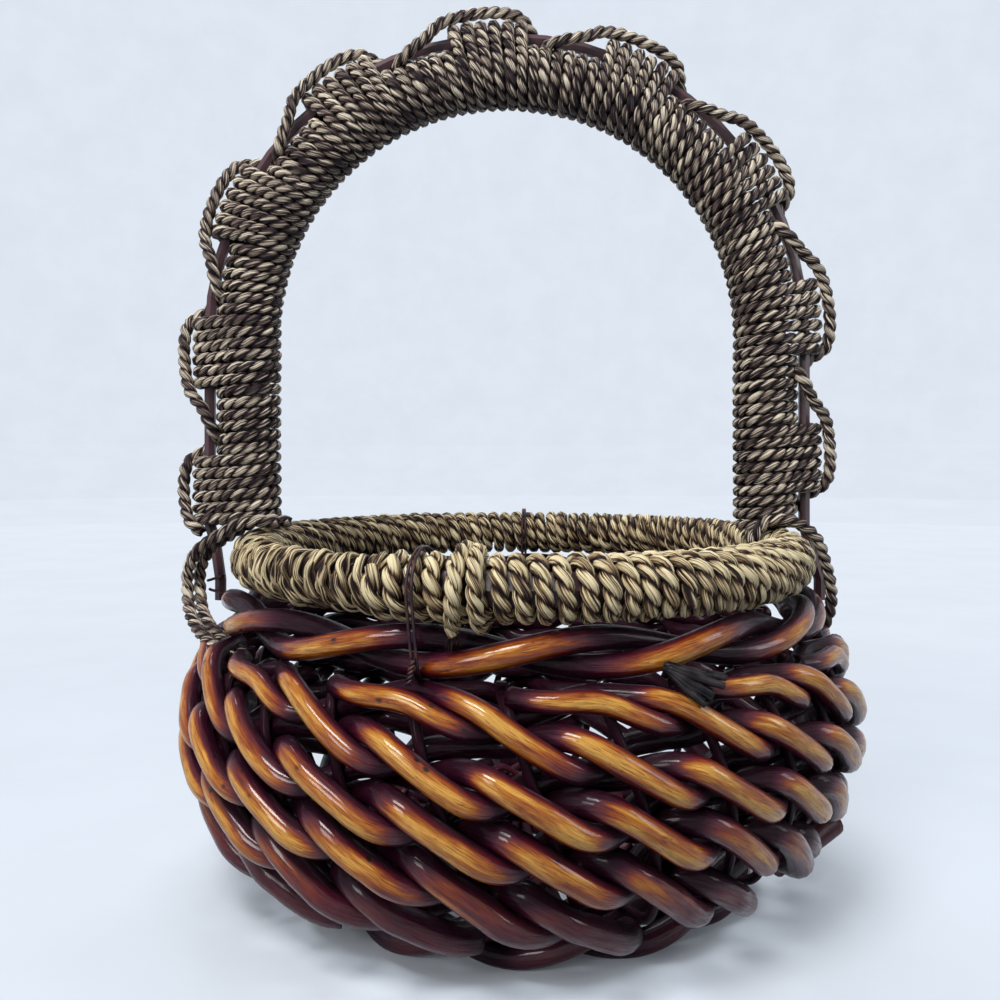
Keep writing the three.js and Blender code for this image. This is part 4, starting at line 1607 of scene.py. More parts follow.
@dataclass
class Rim:
    """The rope-wound rim.

    Attributes:
        drawing: Where the basket is drawn.
        half_width: The hoop's middle line along X.
        half_depth: The same along Y.
        height: Its height.
        hoop_thickness: Thickness of the hoop under the rope.
        rope_thickness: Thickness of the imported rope.
        touch_gap: Gap between packed faces that touch.
        pitch: Distance from one turn of rope to the next along the rim.
        lay: How the rope is laid up.
        turn_shift: How far a turn lies out of place, as a share of a turn.
        turn_swell: Share by which a turn's thickness varies.
        leaves: How the rope is laid up where its twist has opened.
        knot_lay: How the turns of the knot are laid up.
        knot_angle: Degrees from the front to the knot.
        knot_turns: The turns, first the one whose end hangs out.
    """

    drawing: Drawing
    half_width: float = 98.5
    half_depth: float = 107.5
    height: float = 119.0
    hoop_thickness: float = 11.2
    rope_thickness: float = 4.4
    touch_gap: float = 0.3
    pitch: float = 5.75
    lay: Lay = Lay(plies=2, ply_thickness=3.6, reach=0.95, pitch=9.8)
    turn_shift: float = 0.05
    turn_swell: float = 0.04
    leaves: Lay = Lay(plies=5, ply_thickness=2.0, reach=1.05, pitch=34.0)
    knot_lay: Lay = Lay(plies=2, ply_thickness=3.2, reach=0.85, pitch=9.0)
    knot_angle: float = -8.5
    knot_turns: tuple = (
        KnotTurn(shift=-3.6, slant=1.9, end=-62, stand=0.9),
        KnotTurn(shift=1.6, slant=-1.4, end=-215, stand=0.1),
    )

    @property
    def radius(self) -> float:
        """Radius of the wound rim."""
        return self.hoop_thickness / 2 + self.touch_gap + self.rope_thickness

    def ellipse(self, count: int) -> tuple[Array, Array, Array]:
        """Even places along the hoop's middle line, from the knot on.

        Args:
            count: Number of places.

        Returns:
            Their points, their directions and the angle of each from the front.
        """
        fine = np.linspace(0, math.tau, 4001)
        start = math.radians(self.knot_angle - 90)
        x = self.half_width * np.cos(start + fine)
        y = self.half_depth * np.sin(start + fine)
        along = np.concatenate([[0.0], np.cumsum(np.hypot(np.diff(x), np.diff(y)))])
        places = np.linspace(0, along[-1], count)
        a = start + np.interp(places, along, fine)
        points = np.stack([self.half_width * np.cos(a), self.half_depth * np.sin(a)], axis=1)
        points = np.column_stack([points, np.full(count, self.height)])
        ahead = np.stack([-self.half_width * np.sin(a), self.half_depth * np.cos(a)], axis=1)
        ahead = unit(np.column_stack([ahead, np.zeros(count)]))
        return points, ahead, np.degrees(np.arctan2(points[:, 0], -points[:, 1]))

    def length(self) -> float:
        """Length of the hoop's middle line."""
        points = self.ellipse(2000)[0]
        return float(np.sum(np.linalg.norm(np.diff(points, axis=0), axis=1)))

    def wind(self) -> tuple[Path, Array, Array]:
        """The rope's line round the hoop.

        Returns:
            The line, its outward normals and how far its twist has opened.
        """
        turns = round(self.length() / self.pitch)
        reach = self.radius - self.lay.ply_thickness / 2 - self.lay.reach
        ring_step = 1.2
        per_turn = round(math.tau * reach / ring_step)
        count = turns * per_turn
        points, ahead, angle = self.ellipse(count)
        rng = np.random.default_rng(5)
        wound = np.arange(count) / per_turn
        uneven = np.interp(wound, np.arange(turns + 1), rng.normal(0, self.turn_shift, turns + 1))
        turn = math.tau * (wound + uneven)
        across = np.cross(ahead, UP)
        out = np.cos(turn)[:, None] * UP + np.sin(turn)[:, None] * across
        size = 1 + np.interp(wound, np.arange(turns + 1), rng.normal(0, self.turn_swell, turns + 1))
        line = Path(points + reach * out, size)
        opens, closes = (-87, -71), (-28, -16)
        loose = smoothstep(*opens, angle) * (1 - smoothstep(*closes, angle))
        return line, out, loose

    def wear_and_shade(self, points: Array, normals: Array) -> Array:
        """Rubbing and painted shade of the rope: lighter on its outer side and towards the front, with
        painted shade in the grooves between turns, and darker towards the back.

        Args:
            points: Points in drawing millimetres.
            normals: Their normals, which are not used.

        Returns:
            Values from 0 to 1, low in the painted-shade grooves.
        """
        flat = points[:, :2] / np.array([self.half_width, self.half_depth])
        mean = (self.half_width + self.half_depth) / 2
        aside = (np.linalg.norm(flat, axis=1) - 1) * mean
        away = np.hypot(aside, points[:, 2] - self.height)
        # painted shade: darker in the grooves between turns, paler on the crests
        crest = smoothstep(self.radius - 3.6, self.radius - 0.2, away)
        # darker towards the back
        front = smoothstep(40, -70, points[:, 1])
        back = 0.34
        return np.clip(crest * (back + (1 - back) * front), 0, 1)

    def build(self) -> None:
        """Makes the winding and the knot that closes it."""
        line, normals, loose = self.wind()
        shaper = Shaper(self.drawing)
        first, last = np.flatnonzero(loose > 0.5)[[0, -1]]
        overlap = 12
        for start, end in ((0, first + overlap), (last - overlap, len(line.points))):
            part = Path(line.points[start:end], line.radii[start:end])
            shaper.rope(self.lay, part, normals[start:end], slack=0.6 * loose[start:end])
        self.lay_leaves(shaper, Path(line.points[first:last], line.radii[first:last]), normals[first:last])
        shaper.piece("rim_rope", RIM_ROPE, ["rim_winding"], self.wear_and_shade)
        self.build_knot()

    def lay_leaves(self, shaper: Shaper, line: Path, normals: Array) -> None:
        """Lays the leaves of the rope side by side where its twist has opened.

        Args:
            shaper: Collects them.
            line: The rope's line there.
            normals: Its outward normals.
        """
        rng = np.random.default_rng(17)
        along = line.lengths()
        sink = 0.8
        line = Path(line.points - sink * normals, line.radii)
        for leaf, strand in enumerate(self.leaves.strands(line, normals)):
            shift = np.zeros_like(strand.points)
            swell = np.zeros(len(along))
            for stretch in (31.0, 17.0, 9.0):
                phases = rng.uniform(0, math.tau, 4)
                for k in range(3):
                    shift[:, k] += 0.26 * np.sin(math.tau * along / stretch + phases[k])
                swell += 0.12 * np.sin(math.tau * along / (0.8 * stretch) + phases[3])
            shaped = Path(strand.points + shift, strand.radii * (1 + swell))
            shaper.strand(shaped, 6, mark=leaf, spine=line)

    def build_knot(self) -> None:
        """Makes the turns that close the winding, with a frayed end below them."""
        shaper = Shaper(self.drawing)
        a = math.radians(self.knot_angle - 90)
        middle = np.array([self.half_width * math.cos(a), self.half_depth * math.sin(a), self.height])
        outward = unit(np.array([math.cos(a), math.sin(a), 0.0]))
        ahead = np.array([-outward[1], outward[0], 0.0])
        start, rings = 150, 60
        for number, turn in enumerate(self.knot_turns):
            angles = np.radians(np.linspace(start, turn.end, rings))
            lean = np.linspace(turn.slant, -turn.slant, rings)
            out = np.cos(angles)[:, None] * outward + np.sin(angles)[:, None] * UP
            points = middle + (self.radius + turn.stand) * out
            points += (turn.shift + lean)[:, None] * ahead
            if number == 0:
                root = points[-1] - 2.4 * UP
                tail = points[-1] - np.outer([1.0, 2.2], UP) - np.outer([0.1, 0.2], outward)
                points = np.vstack([points, tail])
            line = Path(points, np.ones(len(points))).smoothed(3)
            plies = self.knot_lay.plies
            shaper.rope(self.knot_lay, line, line.carried_normals(ahead), mark=plies * number)
        self.fray(shaper, root, outward, ahead)
        shaper.piece("rim_knot_rope", RIM_ROPE, ["rim_knot"], self.wear_and_shade)

    def fray(self, shaper: Shaper, root: Array, outward: Array, ahead: Array) -> None:
        """Lays the loose fibres of the knot's hanging end.

        Args:
            shaper: Collects them.
            root: Where they start.
            outward: Direction away from the rim.
            ahead: Direction along the rim.
        """
        rng = random.Random(8)
        radii = np.array([0.35, 0.28, 0.12])
        fibres = 9
        for fibre in range(fibres):
            side = rng.uniform(-1, 1)
            drop = rng.uniform(2.5, 5)
            start = root + side * 0.8 * ahead
            end = root + side * 2.4 * ahead - drop * UP + rng.uniform(-1, 1.5) * outward
            points = np.array([start, (start + end) / 2 + 0.4 * side * ahead, end])
            shaper.strand(Path(points, radii).smoothed(3), 4, mark=fibre)


@dataclass
class Handle:
    """The arched handle: a core, a rib outside it and rope wound round them.

    Attributes:
        drawing: Where the basket is drawn.
        rim: The rim on which it stands.
        arch_radius: Radius of the arch.
        spring_height: Height at which the legs end and the arch begins.
        core_thickness: Thickness of the core.
        rib_thickness: Thickness of the rib.
        wide_turns: Turns of the rope in a wide block.
        narrow_turns: Turns of the rope in a narrow block.
        lay: How the winding's rope is laid up.
        turn_shift: How far a turn strays from its place, in millimetres.
        turn_swell: Share by which a turn's thickness varies.
        cord_lay: How the scalloped cord is laid up.
    """

    drawing: Drawing
    rim: Rim
    arch_radius: float = 100.0
    spring_height: float = 203.0
    core_thickness: float = 15.6
    rib_thickness: float = 4.4
    wide_turns: int = 6
    narrow_turns: int = 6
    lay: Lay = Lay(plies=2, ply_thickness=2.95, reach=0.82, pitch=8.6)
    turn_shift: float = 0.25
    turn_swell: float = 0.05
    cord_lay: Lay = Lay(plies=2, ply_thickness=3.1, reach=0.95, pitch=8.8)

    @property
    def foot(self) -> float:
        """Height at which the handle stands on the rim."""
        return self.rim.height + self.rim.radius + self.rim.touch_gap

    @property
    def leg(self) -> float:
        """Length of a leg."""
        return self.spring_height - self.foot

    @property
    def length(self) -> float:
        """Length of the handle's middle line."""
        return 2 * self.leg + math.pi * self.arch_radius

    @property
    def block(self) -> float:
        """Length of a wide and a narrow block together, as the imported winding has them."""
        packed_pitch, packed_turns = 5.8, 9
        return packed_turns * self.length / round(self.length / packed_pitch)

    @property
    def narrow_radius(self) -> float:
        """Outer radius of the rope round the core."""
        return self.core_thickness / 2 + self.rim.touch_gap + self.rim.rope_thickness

    @property
    def rib_offset(self) -> float:
        """Distance of the rib's middle from the core's."""
        return self.narrow_radius + 1.4 * self.rim.touch_gap + self.rib_thickness / 2

    @property
    def wide_reach(self) -> float:
        """How far a wide block reaches outside the core's middle."""
        return self.rib_offset + self.rib_thickness / 2 + self.rim.touch_gap + self.rim.rope_thickness

    def station(self, place: Array) -> tuple[Array, Array, Array]:
        """Places along the handle, from its left foot over the arch.

        Args:
            place: Lengths along the middle line in millimetres.

        Returns:
            Points of the middle line, its directions and the directions to the arch's inside.
        """
        place = np.atleast_1d(np.asarray(place, float))
        bend = np.clip((place - self.leg) / self.arch_radius, 0, math.pi)
        spare = place - self.leg - bend * self.arch_radius
        zero = np.zeros_like(place)
        ahead = np.stack([np.sin(bend), zero, np.cos(bend)], axis=1)
        inside = np.stack([np.cos(bend), zero, -np.sin(bend)], axis=1)
        middle = np.array([self.drawing.handle_centre, 0.0, self.spring_height])
        return middle - self.arch_radius * inside + spare[:, None] * ahead, ahead, inside

    def off(self, places: Array, offsets: Array, asides: Array) -> Array:
        """Points beside the handle's middle line.

        Args:
            places: Lengths along the line.
            offsets: Distances outside it.
            asides: Distances along Y.

        Returns:
            Points in millimetres.
        """
        points, _, inside = self.station(places)
        points = points - offsets[:, None] * inside
        points[:, 1] += asides
        return points

    def section(self, wide: bool, shrink: float) -> Array:
        """One turn of the rope's middle line in the plane across the handle.

        Args:
            wide: Whether it goes round the rib too.
            shrink: How far the line lies inside the winding's outer side.

        Returns:
            Closed points, evenly spaced from the arch's inner side on: how far inside and aside
            each lies, and the length up to it.
        """
        a = np.linspace(0, math.tau, 721)
        core = self.narrow_radius - shrink
        if wide:
            rib = self.wide_reach - self.rib_offset - shrink
            about_rib = -self.rib_offset * np.cos(a) + rib > core
            x = np.where(about_rib, rib * np.cos(a) - self.rib_offset, core * np.cos(a))
            y = np.where(about_rib, rib, core) * np.sin(a)
        else:
            x, y = core * np.cos(a), core * np.sin(a)
        along = np.concatenate([[0.0], np.cumsum(np.hypot(np.diff(x), np.diff(y)))])
        even = np.linspace(0, along[-1], 361)
        return np.stack([np.interp(even, along, x), np.interp(even, along, y), even], axis=1)

    def wind(self) -> tuple[Path, Array]:
        """The rope's line round the handle.

        Returns:
            The line and its outward normals.
        """
        shrink = self.lay.ply_thickness / 2 + self.lay.reach
        block_turns = self.wide_turns + self.narrow_turns
        turns = round(self.length / (self.block / block_turns))
        pitch = self.length / turns
        wide, narrow = self.section(True, shrink), self.section(False, shrink)
        ring_step, spread = 1.25, 0.8
        rng = random.Random(21)
        points, normals, radii = [], [], []
        for turn in range(turns):
            about = wide if turn % block_turns < self.wide_turns else narrow
            count = round(about[-1, 2] / ring_step)
            share = np.arange(count) / count
            at = share * (len(about) - 1)
            x = np.interp(at, np.arange(len(about)), about[:, 0])
            y = np.interp(at, np.arange(len(about)), about[:, 1])
            ahead_x = np.interp(at + 1, np.arange(len(about)), about[:, 0]) - x
            ahead_y = np.interp(at + 1, np.arange(len(about)), about[:, 1]) - y
            stray = rng.uniform(-self.turn_shift, self.turn_shift)
            place = pitch * (turn + share) + stray * np.sin(math.tau * share)
            middle, ahead, inside = self.station(place)
            across = np.cross(ahead, inside)
            fans = np.where((place > self.leg) & (place < self.length - self.leg), -x, 0.0)
            points.append(middle + x[:, None] * inside + y[:, None] * across)
            normals.append(unit(ahead_y[:, None] * inside - ahead_x[:, None] * across))
            size = 1 + rng.uniform(-self.turn_swell, self.turn_swell)
            radii.append(size * (1 + spread * np.clip(fans, 0, None) / self.arch_radius))
        return Path(np.vstack(points), np.concatenate(radii)), np.vstack(normals)

    def place_of(self, points: Array) -> tuple[Array, Array]:
        """Where points lie in the section across the handle.

        Args:
            points: Points in drawing millimetres.

        Returns:
            How far they lie outside the middle line, and along Y.
        """
        lift = np.clip(points[:, 2] - self.spring_height, 0, None)
        away = np.hypot(points[:, 0] - self.drawing.handle_centre, lift) - self.arch_radius
        return away, points[:, 1]

    def wear_and_shade(self, points: Array, normals: Array) -> Array:
        """Rubbing and painted shade of the rope: lighter on its crests, with painted shade in the grooves
        between turns.

        Args:
            points: Points in drawing millimetres.
            normals: Their normals, which are not used.

        Returns:
            Values from 0 to 1, low in the painted-shade grooves.
        """
        away, aside = self.place_of(points)
        core = np.hypot(away, aside)
        rib = np.hypot(away - self.rib_offset, aside)
        # painted shade: darker in the grooves between turns, paler on the crests
        core_crest = smoothstep(self.narrow_radius - 3.0, self.narrow_radius - 0.2, core)
        crest = np.maximum(core_crest, 1 - smoothstep(2.0, 6.0, rib))
        return np.clip(0.25 + 0.55 * crest, 0, 1)

    def cord_route(self) -> Path:
        """The scalloped cord, which goes once round the rib at each wide block.

        Returns:
            Its line: out over the wide block, behind the rib, through to the front of the
            narrow block and out again.
        """
        half = self.block * self.wide_turns / (self.wide_turns + self.narrow_turns) / 2
        edge = self.wide_reach + 0.9
        blocks = math.ceil(self.length / self.block)
        rib = self.rib_offset
        route = np.array([
            (-half - 18.0, rib - 4.2, -6.0),
            (-half - 12.5, rib - 1.8, -8.6),
            (-half - 7.0, rib + 1.2, -7.4),
            (-half - 1.0, edge - 1.6, -5.4),
            (-0.3 * half, edge + 1.2, -2.6),
            (0.45 * half, edge + 2.0, -0.4),
            (half - 1.5, edge + 0.9, 1.8),
            (half + 2.5, rib + 3.4, 3.6),
            (half + 5.5, rib + 0.2, 5.6),
            (half + 8.0, rib - 3.4, 3.0),
        ])
        shifts, offsets, asides = route.T
        points = [self.off(i * self.block + half + shifts, offsets, asides) for i in range(blocks)]
        tuck = self.off(np.array([-2.5, 1.5]), np.array([rib + 1.5, edge - 1.8]), np.array([-5.6, -5.6]))
        points = np.vstack([tuck, *points])
        points = points[(points[:, 2] > self.foot + 3) | (np.arange(len(points)) < 2)]
        return Path(points, np.ones(len(points))).smoothed(12).spaced(1.0)

    def build(self) -> None:
        """Makes the winding and the scalloped cord."""
        line, normals = self.wind()
        shaper = Shaper(self.drawing)
        shaper.rope(self.lay, line, normals)
        shaper.piece("handle_rope", HANDLE_ROPE, ["handle_winding"], self.wear_and_shade)
        cord = self.cord_route()
        shaper = Shaper(self.drawing)
        shaper.rope(self.cord_lay, cord, cord.carried_normals(np.array([0.0, 1.0, 0.0])))
        shaper.piece("scalloped_rope", HANDLE_ROPE, ["scallop_cord"], even_wear(0.85))


# Bindings


@dataclass
class Lashings:
    """Ropes that bind the feet of the handle, laid over the rim and down to the border.

    Attributes:
        drawing: Where the basket is drawn.
        lay: How they are laid up.
        left: Route of the inner rope at the left foot.
        beside: Where the outer one lies from it.
        right: Route of the rope at the right foot.
    """

    drawing: Drawing
    lay: Lay = Lay(plies=2, ply_thickness=3.0, reach=0.95, pitch=8.8)
    left: tuple = (
        (-86, -15, 131.8),
        (-97.5, -15.6, 132.2),
        (-108.5, -14.2, 126.8),
        (-117, -11, 121),
        (-121.8, -7, 112.8),
        (-121.6, -8, 105),
        (-118.8, -14, 98.5),
        (-111.5, -25, 93),
        (-103, -34, 89.5),
        (-96, -40, 87),
    )
    beside: tuple = (-3.3, -4.4, 0)
    right: tuple = (
        (85.5, -15.4, 124),
        (91, -15.8, 131.8),
        (101, -15.6, 132),
        (110.2, -13.5, 126),
        (114.5, -11, 117),
        (117.6, -8.6, 107),
        (118.2, -6.2, 98),
        (115.5, -4.6, 90.5),
        (109, -4, 86),
    )

    def rope(self, name: str, node: str, route: tuple, shift: tuple = (0, 0, 0)) -> None:
        """Makes one rope.

        Args:
            name: The piece's name.
            node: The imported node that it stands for.
            route: Its points.
            shift: How far it is moved from them.
        """
        points = np.array(route, float) + np.array(shift)
        line = Path(points, np.ones(len(points))).smoothed(14).spaced(1.0)
        shaper = Shaper(self.drawing)
        shaper.rope(self.lay, line, line.carried_normals(np.array([0.0, -1.0, 0.0])))
        shaper.piece(name, HANDLE_ROPE, [node], even_wear(0.7))

    def build(self) -> None:
        """Makes the three ropes."""
        self.rope("left_binding_inner", "left_lashing_inner", self.left)
        self.rope("left_binding_outer", "left_lashing_outer", self.left, self.beside)
        self.rope("right_binding", "right_lashing", self.right)


# Wire and broken rods


@dataclass
class Ties:
    """Wires that hold the rim down to the border, with the ends twisted together.

    Attributes:
        bowl: The bowl whose stakes they stand beside.
        rim: The rim that they go over.
        border: The border that they go under.
        thickness: Thickness of the wire.
        stakes: The stakes beside which they are.
        stand: How far the wire stands off the rim and the border.
        pair_half: Half the distance between the two wires of a tie.
        SIDES: Faces round a wire.
    """

    bowl: Bowl
    rim: Rim
    border: TwistedRing
    thickness: float = 0.95
    stakes: tuple = (-2, 12)
    stand: float = 0.5
    pair_half: float = 0.62

    SIDES = 8

    def angle(self, stake: int) -> float:
        """Angle of the tie beside a stake.

        Args:
            stake: The stake's number.

        Returns:
            Degrees from the front.
        """
        room = 0.6
        aside = self.bowl.spoke_thickness / 2 + room + 4 * self.rim.touch_gap
        top = self.border.height - self.border.thickness - self.rim.touch_gap
        return float(self.bowl.stake_angle(stake, top)) + math.degrees(aside / self.border.middle)

    def loop(self, angle: float) -> Array:
        """Points round the rim and the border, from the loop's outer side upwards.

        Args:
            angle: The tie's angle.

        Returns:
            Distance from the axis and height of each point.
        """
        direction = polar(np.array(angle), 1.0, 0.0)
        oval = math.hypot(direction[0] / self.rim.half_width, direction[1] / self.rim.half_depth)
        stand = self.thickness / 2 + self.stand
        middles = np.array([[1 / oval, self.rim.height], [self.border.middle, self.border.height]])
        radii = np.array([self.rim.radius + stand, self.border.thickness + stand])
        turns = np.linspace(0, math.tau, 48, endpoint=False)
        ahead = np.stack([np.cos(turns), np.sin(turns)], axis=1)
        widest = np.argmax(ahead @ middles.T + radii, axis=1)
        return middles[widest] + radii[widest][:, None] * ahead

    def tie(self, name: str, node: str, angle: float) -> None:
        """Makes one tie.

        Args:
            name: The piece's name.
            node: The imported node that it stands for.
            angle: Degrees from the front.
        """
        loop = self.loop(angle)
        along = polar(np.array(angle + 90.0), 1.0, 0.0)
        outward = polar(np.array(angle), 1.0, 0.0)
        radius = self.thickness / 2
        line = polar(np.full(len(loop), angle), loop[:, 0], loop[:, 1])
        round_it = Path(line, np.full(len(line), radius), closed=True).smoothed(3)
        shaper = Shaper(self.bowl.drawing)
        share = np.linspace(0, math.tau, len(round_it.points), endpoint=False)
        for wire in (-1, 1):
            aside = wire * (self.pair_half + 0.16 * np.cos(2 * share))
            points = round_it.points + aside[:, None] * along
            shaper.strand(Path(points, round_it.radii, closed=True), self.SIDES, mark=wire + 1)
        root = polar(np.array(angle), self.border.outer_radius + 1.6, self.border.height - 1.0)
        rings, twists, reach = 40, 2.5, 0.52
        places = np.linspace(0, 1, rings)
        middle = root + np.outer(places, -6.5 * UP + 0.8 * outward - 0.9 * along)
        for wire in (0, 1):
            turn = math.tau * twists * places + math.pi * wire
            swing = np.cos(turn)[:, None] * along + np.sin(turn)[:, None] * outward
            points = middle + reach * swing
            shaper.strand(Path(points, np.full(rings, radius)), self.SIDES, mark=3 + wire)
        shaper.piece(name, WIRE, [node])

    def build(self) -> None:
        """Makes one piece for each tie."""
        for number, stake in enumerate(self.stakes, 1):
            self.tie(f"rim_tie_{number}", f"wire_tie_{number}", self.angle(stake))


@dataclass
class RodEnds:
    """Broken and cut ends of rods that stick out of the work, and staples at the rib's foot.

    Attributes:
        drawing: Where the basket is drawn.
        slivers: Number of slivers of the crushed end.
        crushed: Where the rod breaks up.
        first_tip: Where the uppermost sliver ends.
        last_tip: Where the lowest one ends.
        butts: Route and thickness of each cut end at the right side.
        staples: Place along X, height and lean of each staple at the rib's foot.
    """

    drawing: Drawing
    slivers: int = 10
    crushed: tuple = (38.4, -108.6, 97.8)
    first_tip: tuple = (56.0, -107.5, 94.4)
    last_tip: tuple = (50.0, -111.5, 87.8)
    butts: tuple = (
        (((86, -44, 16), (98, -38, 20.5), (111.5, -29, 25.0)), 8.8),
        (((100, -47, 84), (108, -36, 87.5), (114.5, -22, 88.0)), 6.8),
    )
    staples: tuple = ((-117.2, 109.4, 0.9), (-116.5, 104.4, -0.7))

    def build_splinters(self) -> None:
        """Makes the crushed end of a border rod, which fans out over the top strokes."""
        rng = random.Random(12)
        shaper = Shaper(self.drawing)
        root, first, last = (np.array(p) for p in (self.crushed, self.first_tip, self.last_tip))
        for sliver in range(self.slivers):
            share = sliver / (self.slivers - 1)
            end = first + share * (last - first) + [rng.uniform(-4.0, 0.8), 0, rng.uniform(-0.6, 1.2)]
            end[1] += rng.uniform(-0.9, 0.9)
            start = root + [rng.uniform(-1, 1), rng.uniform(-0.6, 0.6), 1.4 * (0.5 - share)]
            bow = (start + end) / 2 + [0, -1.2, rng.uniform(-0.5, 0.5)]
            radii = rng.uniform(0.8, 1.7) * np.array([0.8, 1.0, 0.75])
            shaper.strand(Path(np.array([start, bow, end]), radii).smoothed(5), 4, mark=sliver)
        shaper.piece("splintered_end", CHARRED)

    def build_butts(self) -> None:
        """Makes the cut ends."""
        shaper = Shaper(self.drawing)
        for mark, (route, thickness) in enumerate(self.butts):
            points = np.array(route, float)
            line = Path(points, np.full(len(points), thickness / 2)).smoothed(8)
            shaper.strand(line, 14, mark=mark)
        shaper.piece("cut_butts", STAKE, wear_and_shade=even_wear(0.34))

    def build_staples(self) -> None:
        """Makes the staples that hold the rib's foot."""
        shaper = Shaper(self.drawing)
        crown = ((-3.0, -2.2, -1), (-2.7, -3.4, -1), (0, -3.7, 0), (2.7, -3.4, 1), (3.0, -2.2, 1))
        for mark, (middle, height, lean) in enumerate(self.staples):
            points = [(middle + x, y, height + share * lean) for x, y, share in crown]
            shaper.strand(Path(np.array(points), np.full(5, 0.55)).smoothed(4), 6, mark=mark)
        shaper.piece("rib_staples", WIRE)

    def build(self) -> None:
        """Makes them all."""
        self.build_splinters()
        self.build_butts()
        self.build_staples()


# The room


@dataclass(frozen=True)
class Lamp:
    """A soft lamp that faces the basket.

    Attributes:
        name: Its name.
        place: Where it hangs, in metres.
        size: Its width and height.
        watts: Its power.
        tint: Its colour.
    """

    name: str
    place: tuple
    size: tuple
    watts: float
    tint: tuple

    def hang(self, aim: Vector) -> None:
        """Hangs the lamp.

        Args:
            aim: The point that it faces.
        """
        data = bpy.data.lights.new(self.name, "AREA")
        data.shape = "RECTANGLE"
        data.size, data.size_y = self.size
        data.energy = self.watts
        data.color = self.tint
        made = add_object(self.name, data)
        made.location = self.place
        made.rotation_euler = (aim - Vector(self.place)).to_track_quat("-Z", "Y").to_euler()


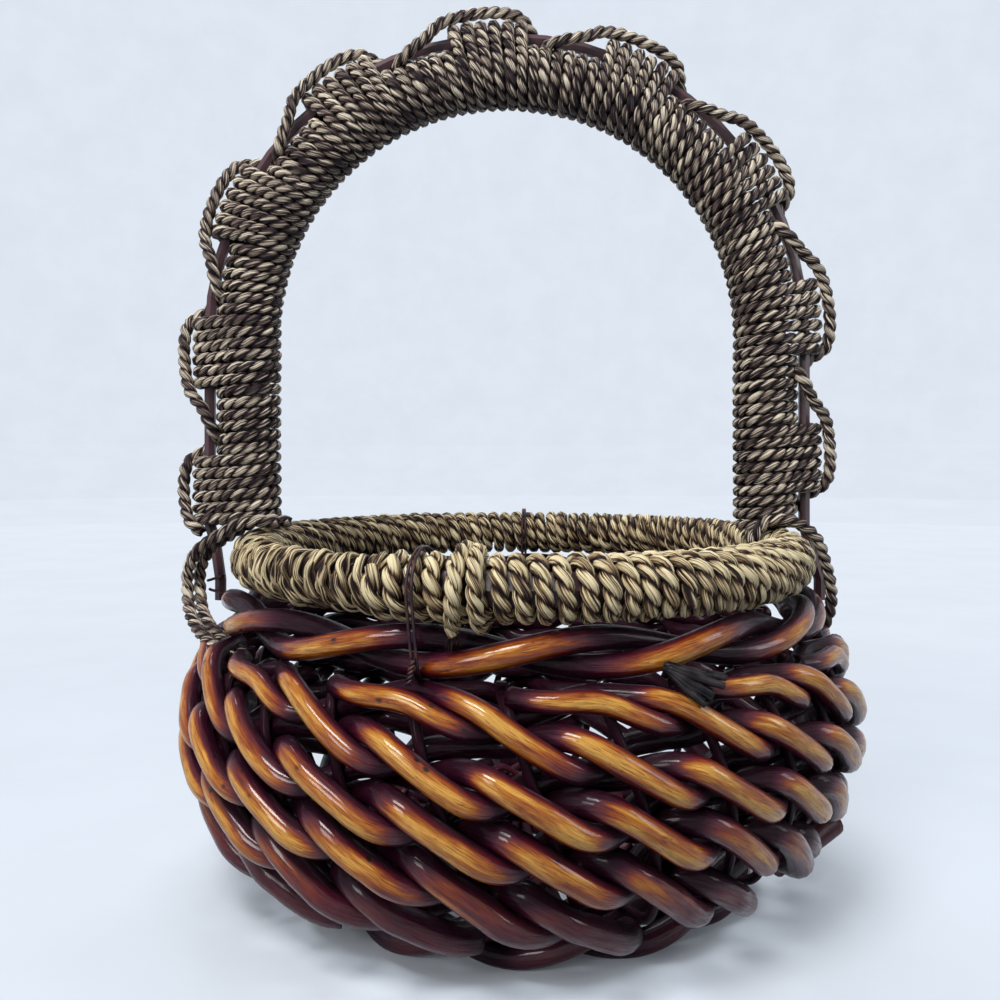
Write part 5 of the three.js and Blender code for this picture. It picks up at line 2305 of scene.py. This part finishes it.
@dataclass
class Studio:
    """Floor, lights and camera.

    Attributes:
        drawing: Where the basket is drawn.
        distance: From the camera to the bowl's axis, in metres.
        aside: How far the camera stands to the left of it.
        height: The camera's height.
        focal_pixels: Focal length in pixels of a frame 1000 wide.
        horizon: Height of the horizon in that frame, from its top.
        sweep: Radius and height of the rings by which the floor rises to a backdrop.
        aim: Height in metres that the lamps face.
        lamps: The lamps.
        FRAME_PIXELS: Width of the frame.
        SENSOR: Width of the camera's sensor in millimetres.
    """

    drawing: Drawing
    distance: float = 0.380
    aside: float = 0.00776
    height: float = 0.155
    focal_pixels: float = 980.0
    horizon: float = 459.5
    sweep: tuple = (
        (0.8, 0.0),
        (1.6, 0.0),
        (2.2, 0.0),
        (2.5, 0.05),
        (2.75, 0.2),
        (2.9, 0.5),
        (2.95, 3.0),
    )
    aim: float = 0.12
    lamps: tuple[Lamp, ...] = (
        Lamp("key", (-0.28, -0.58, 0.95), (0.40, 0.26), 8.2, (1.0, 0.98, 0.95)),
        Lamp("window", (-0.5, -0.8, 0.5), (0.3, 0.3), 3.2, (1.0, 0.99, 0.97)),
        Lamp("fill", (0.9, -0.3, 0.5), (0.3, 0.5), 2.6, (0.92, 0.96, 1.0)),
        Lamp("top", (-0.1, 0.5, 1.1), (0.7, 0.35), 4.6, (0.95, 0.98, 1.0)),
    )

    FRAME_PIXELS = 1000
    SENSOR = 36.0

    def camera(self) -> None:
        """Makes the camera, level and in front of the basket."""
        data = bpy.data.cameras.new("camera")
        data.sensor_width = self.SENSOR
        data.lens = self.focal_pixels / self.FRAME_PIXELS * self.SENSOR
        data.shift_y = (self.horizon - self.FRAME_PIXELS / 2) / self.FRAME_PIXELS
        data.clip_start = 0.01
        made = add_object("camera", data)
        axis = self.drawing.shift
        made.location = (axis[0] - self.aside, axis[1] - self.distance, self.height)
        made.rotation_euler = (math.pi / 2, 0, 0)
        bpy.context.scene.camera = made

    def room(self) -> None:
        """Makes the round floor, which sweeps up into a backdrop on all sides."""
        bm = bmesh.new()
        bmesh.ops.create_circle(bm, cap_ends=True, segments=96, radius=0.3)
        edges = bm.edges[:]
        for radius, height in self.sweep:
            grown = bmesh.ops.extrude_edge_only(bm, edges=edges)["geom"]
            edges = [g for g in grown if isinstance(g, bmesh.types.BMEdge)]
            corners = [g for g in grown if isinstance(g, bmesh.types.BMVert)]
            for corner in corners:
                flat = corner.co.xy.normalized() * radius
                corner.co = (flat.x, flat.y, height)
        bmesh.ops.recalc_face_normals(bm, faces=bm.faces)
        mesh = bpy.data.meshes.new("floor")
        bm.to_mesh(mesh)
        bm.free()
        mesh.materials.append(ROOM.material())
        add_object("floor", mesh)

    def world(self) -> None:
        """Makes the even light of the room."""
        world = bpy.data.worlds.new("room_light")
        world.use_nodes = True
        background = world.node_tree.nodes["Background"]
        background.inputs["Color"].default_value = (0.90, 0.95, 1.0, 1.0)
        background.inputs["Strength"].default_value = 0.6
        bpy.context.scene.world = world

    def build(self) -> None:
        """Makes the whole room."""
        self.camera()
        self.room()
        self.world()
        for lamp in self.lamps:
            lamp.hang(Vector((0, 0, self.aim)))
        bpy.context.scene.view_settings.view_transform = "Standard"


def dress_carried_nodes() -> None:
    """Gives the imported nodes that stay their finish."""
    for node in ("rim_hoop", "handle_core", "handle_rib"):
        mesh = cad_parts[node].data
        mesh.materials.clear()
        mesh.materials.append(CANE.material())
        log.info("%s: carried over", node)


def main() -> None:
    """Builds the basket and its room."""
    logging.basicConfig(level=logging.INFO, format="%(name)s %(message)s")
    drawing = Drawing(handle_centre=-5.0)
    Studio(drawing).build()
    bowl = Bowl(drawing)
    rim = Rim(drawing)
    border_thickness = 7.4
    border_half = bowl.ring_half(border_thickness)
    border_height = rim.height - rim.radius - rim.touch_gap - border_half
    border_floor = border_height - border_half
    border_radius = float(bowl.radius(border_height))
    border = TwistedRing(
        bowl, "border_twist", "border_rod", border_thickness, border_radius, border_height
    )
    foot_thickness = 8.2
    foot_worn_away = foot_thickness / 10
    foot_height = bowl.ring_half(foot_thickness) - foot_worn_away
    foot = TwistedRing(
        bowl, "foot_twist", "foot_rod", foot_thickness, bowl.foot_radius, foot_height, floor=0.0
    )
    base = Base(bowl, border.middle, border_floor, foot.packed_top)
    Weave(bowl).build()
    border.build(seat=float(bowl.stake_angle(0, border_floor - rim.touch_gap)), seed=41)
    foot.build(seat=float(bowl.stake_angle(0, base.stake_floor)), seed=43)
    base.build()
    rim.build()
    Handle(drawing, rim).build()
    Lashings(drawing).build()
    Ties(bowl, rim, border).build()
    RodEnds(drawing).build()
    dress_carried_nodes()


if __name__ == "__main__":
    main()
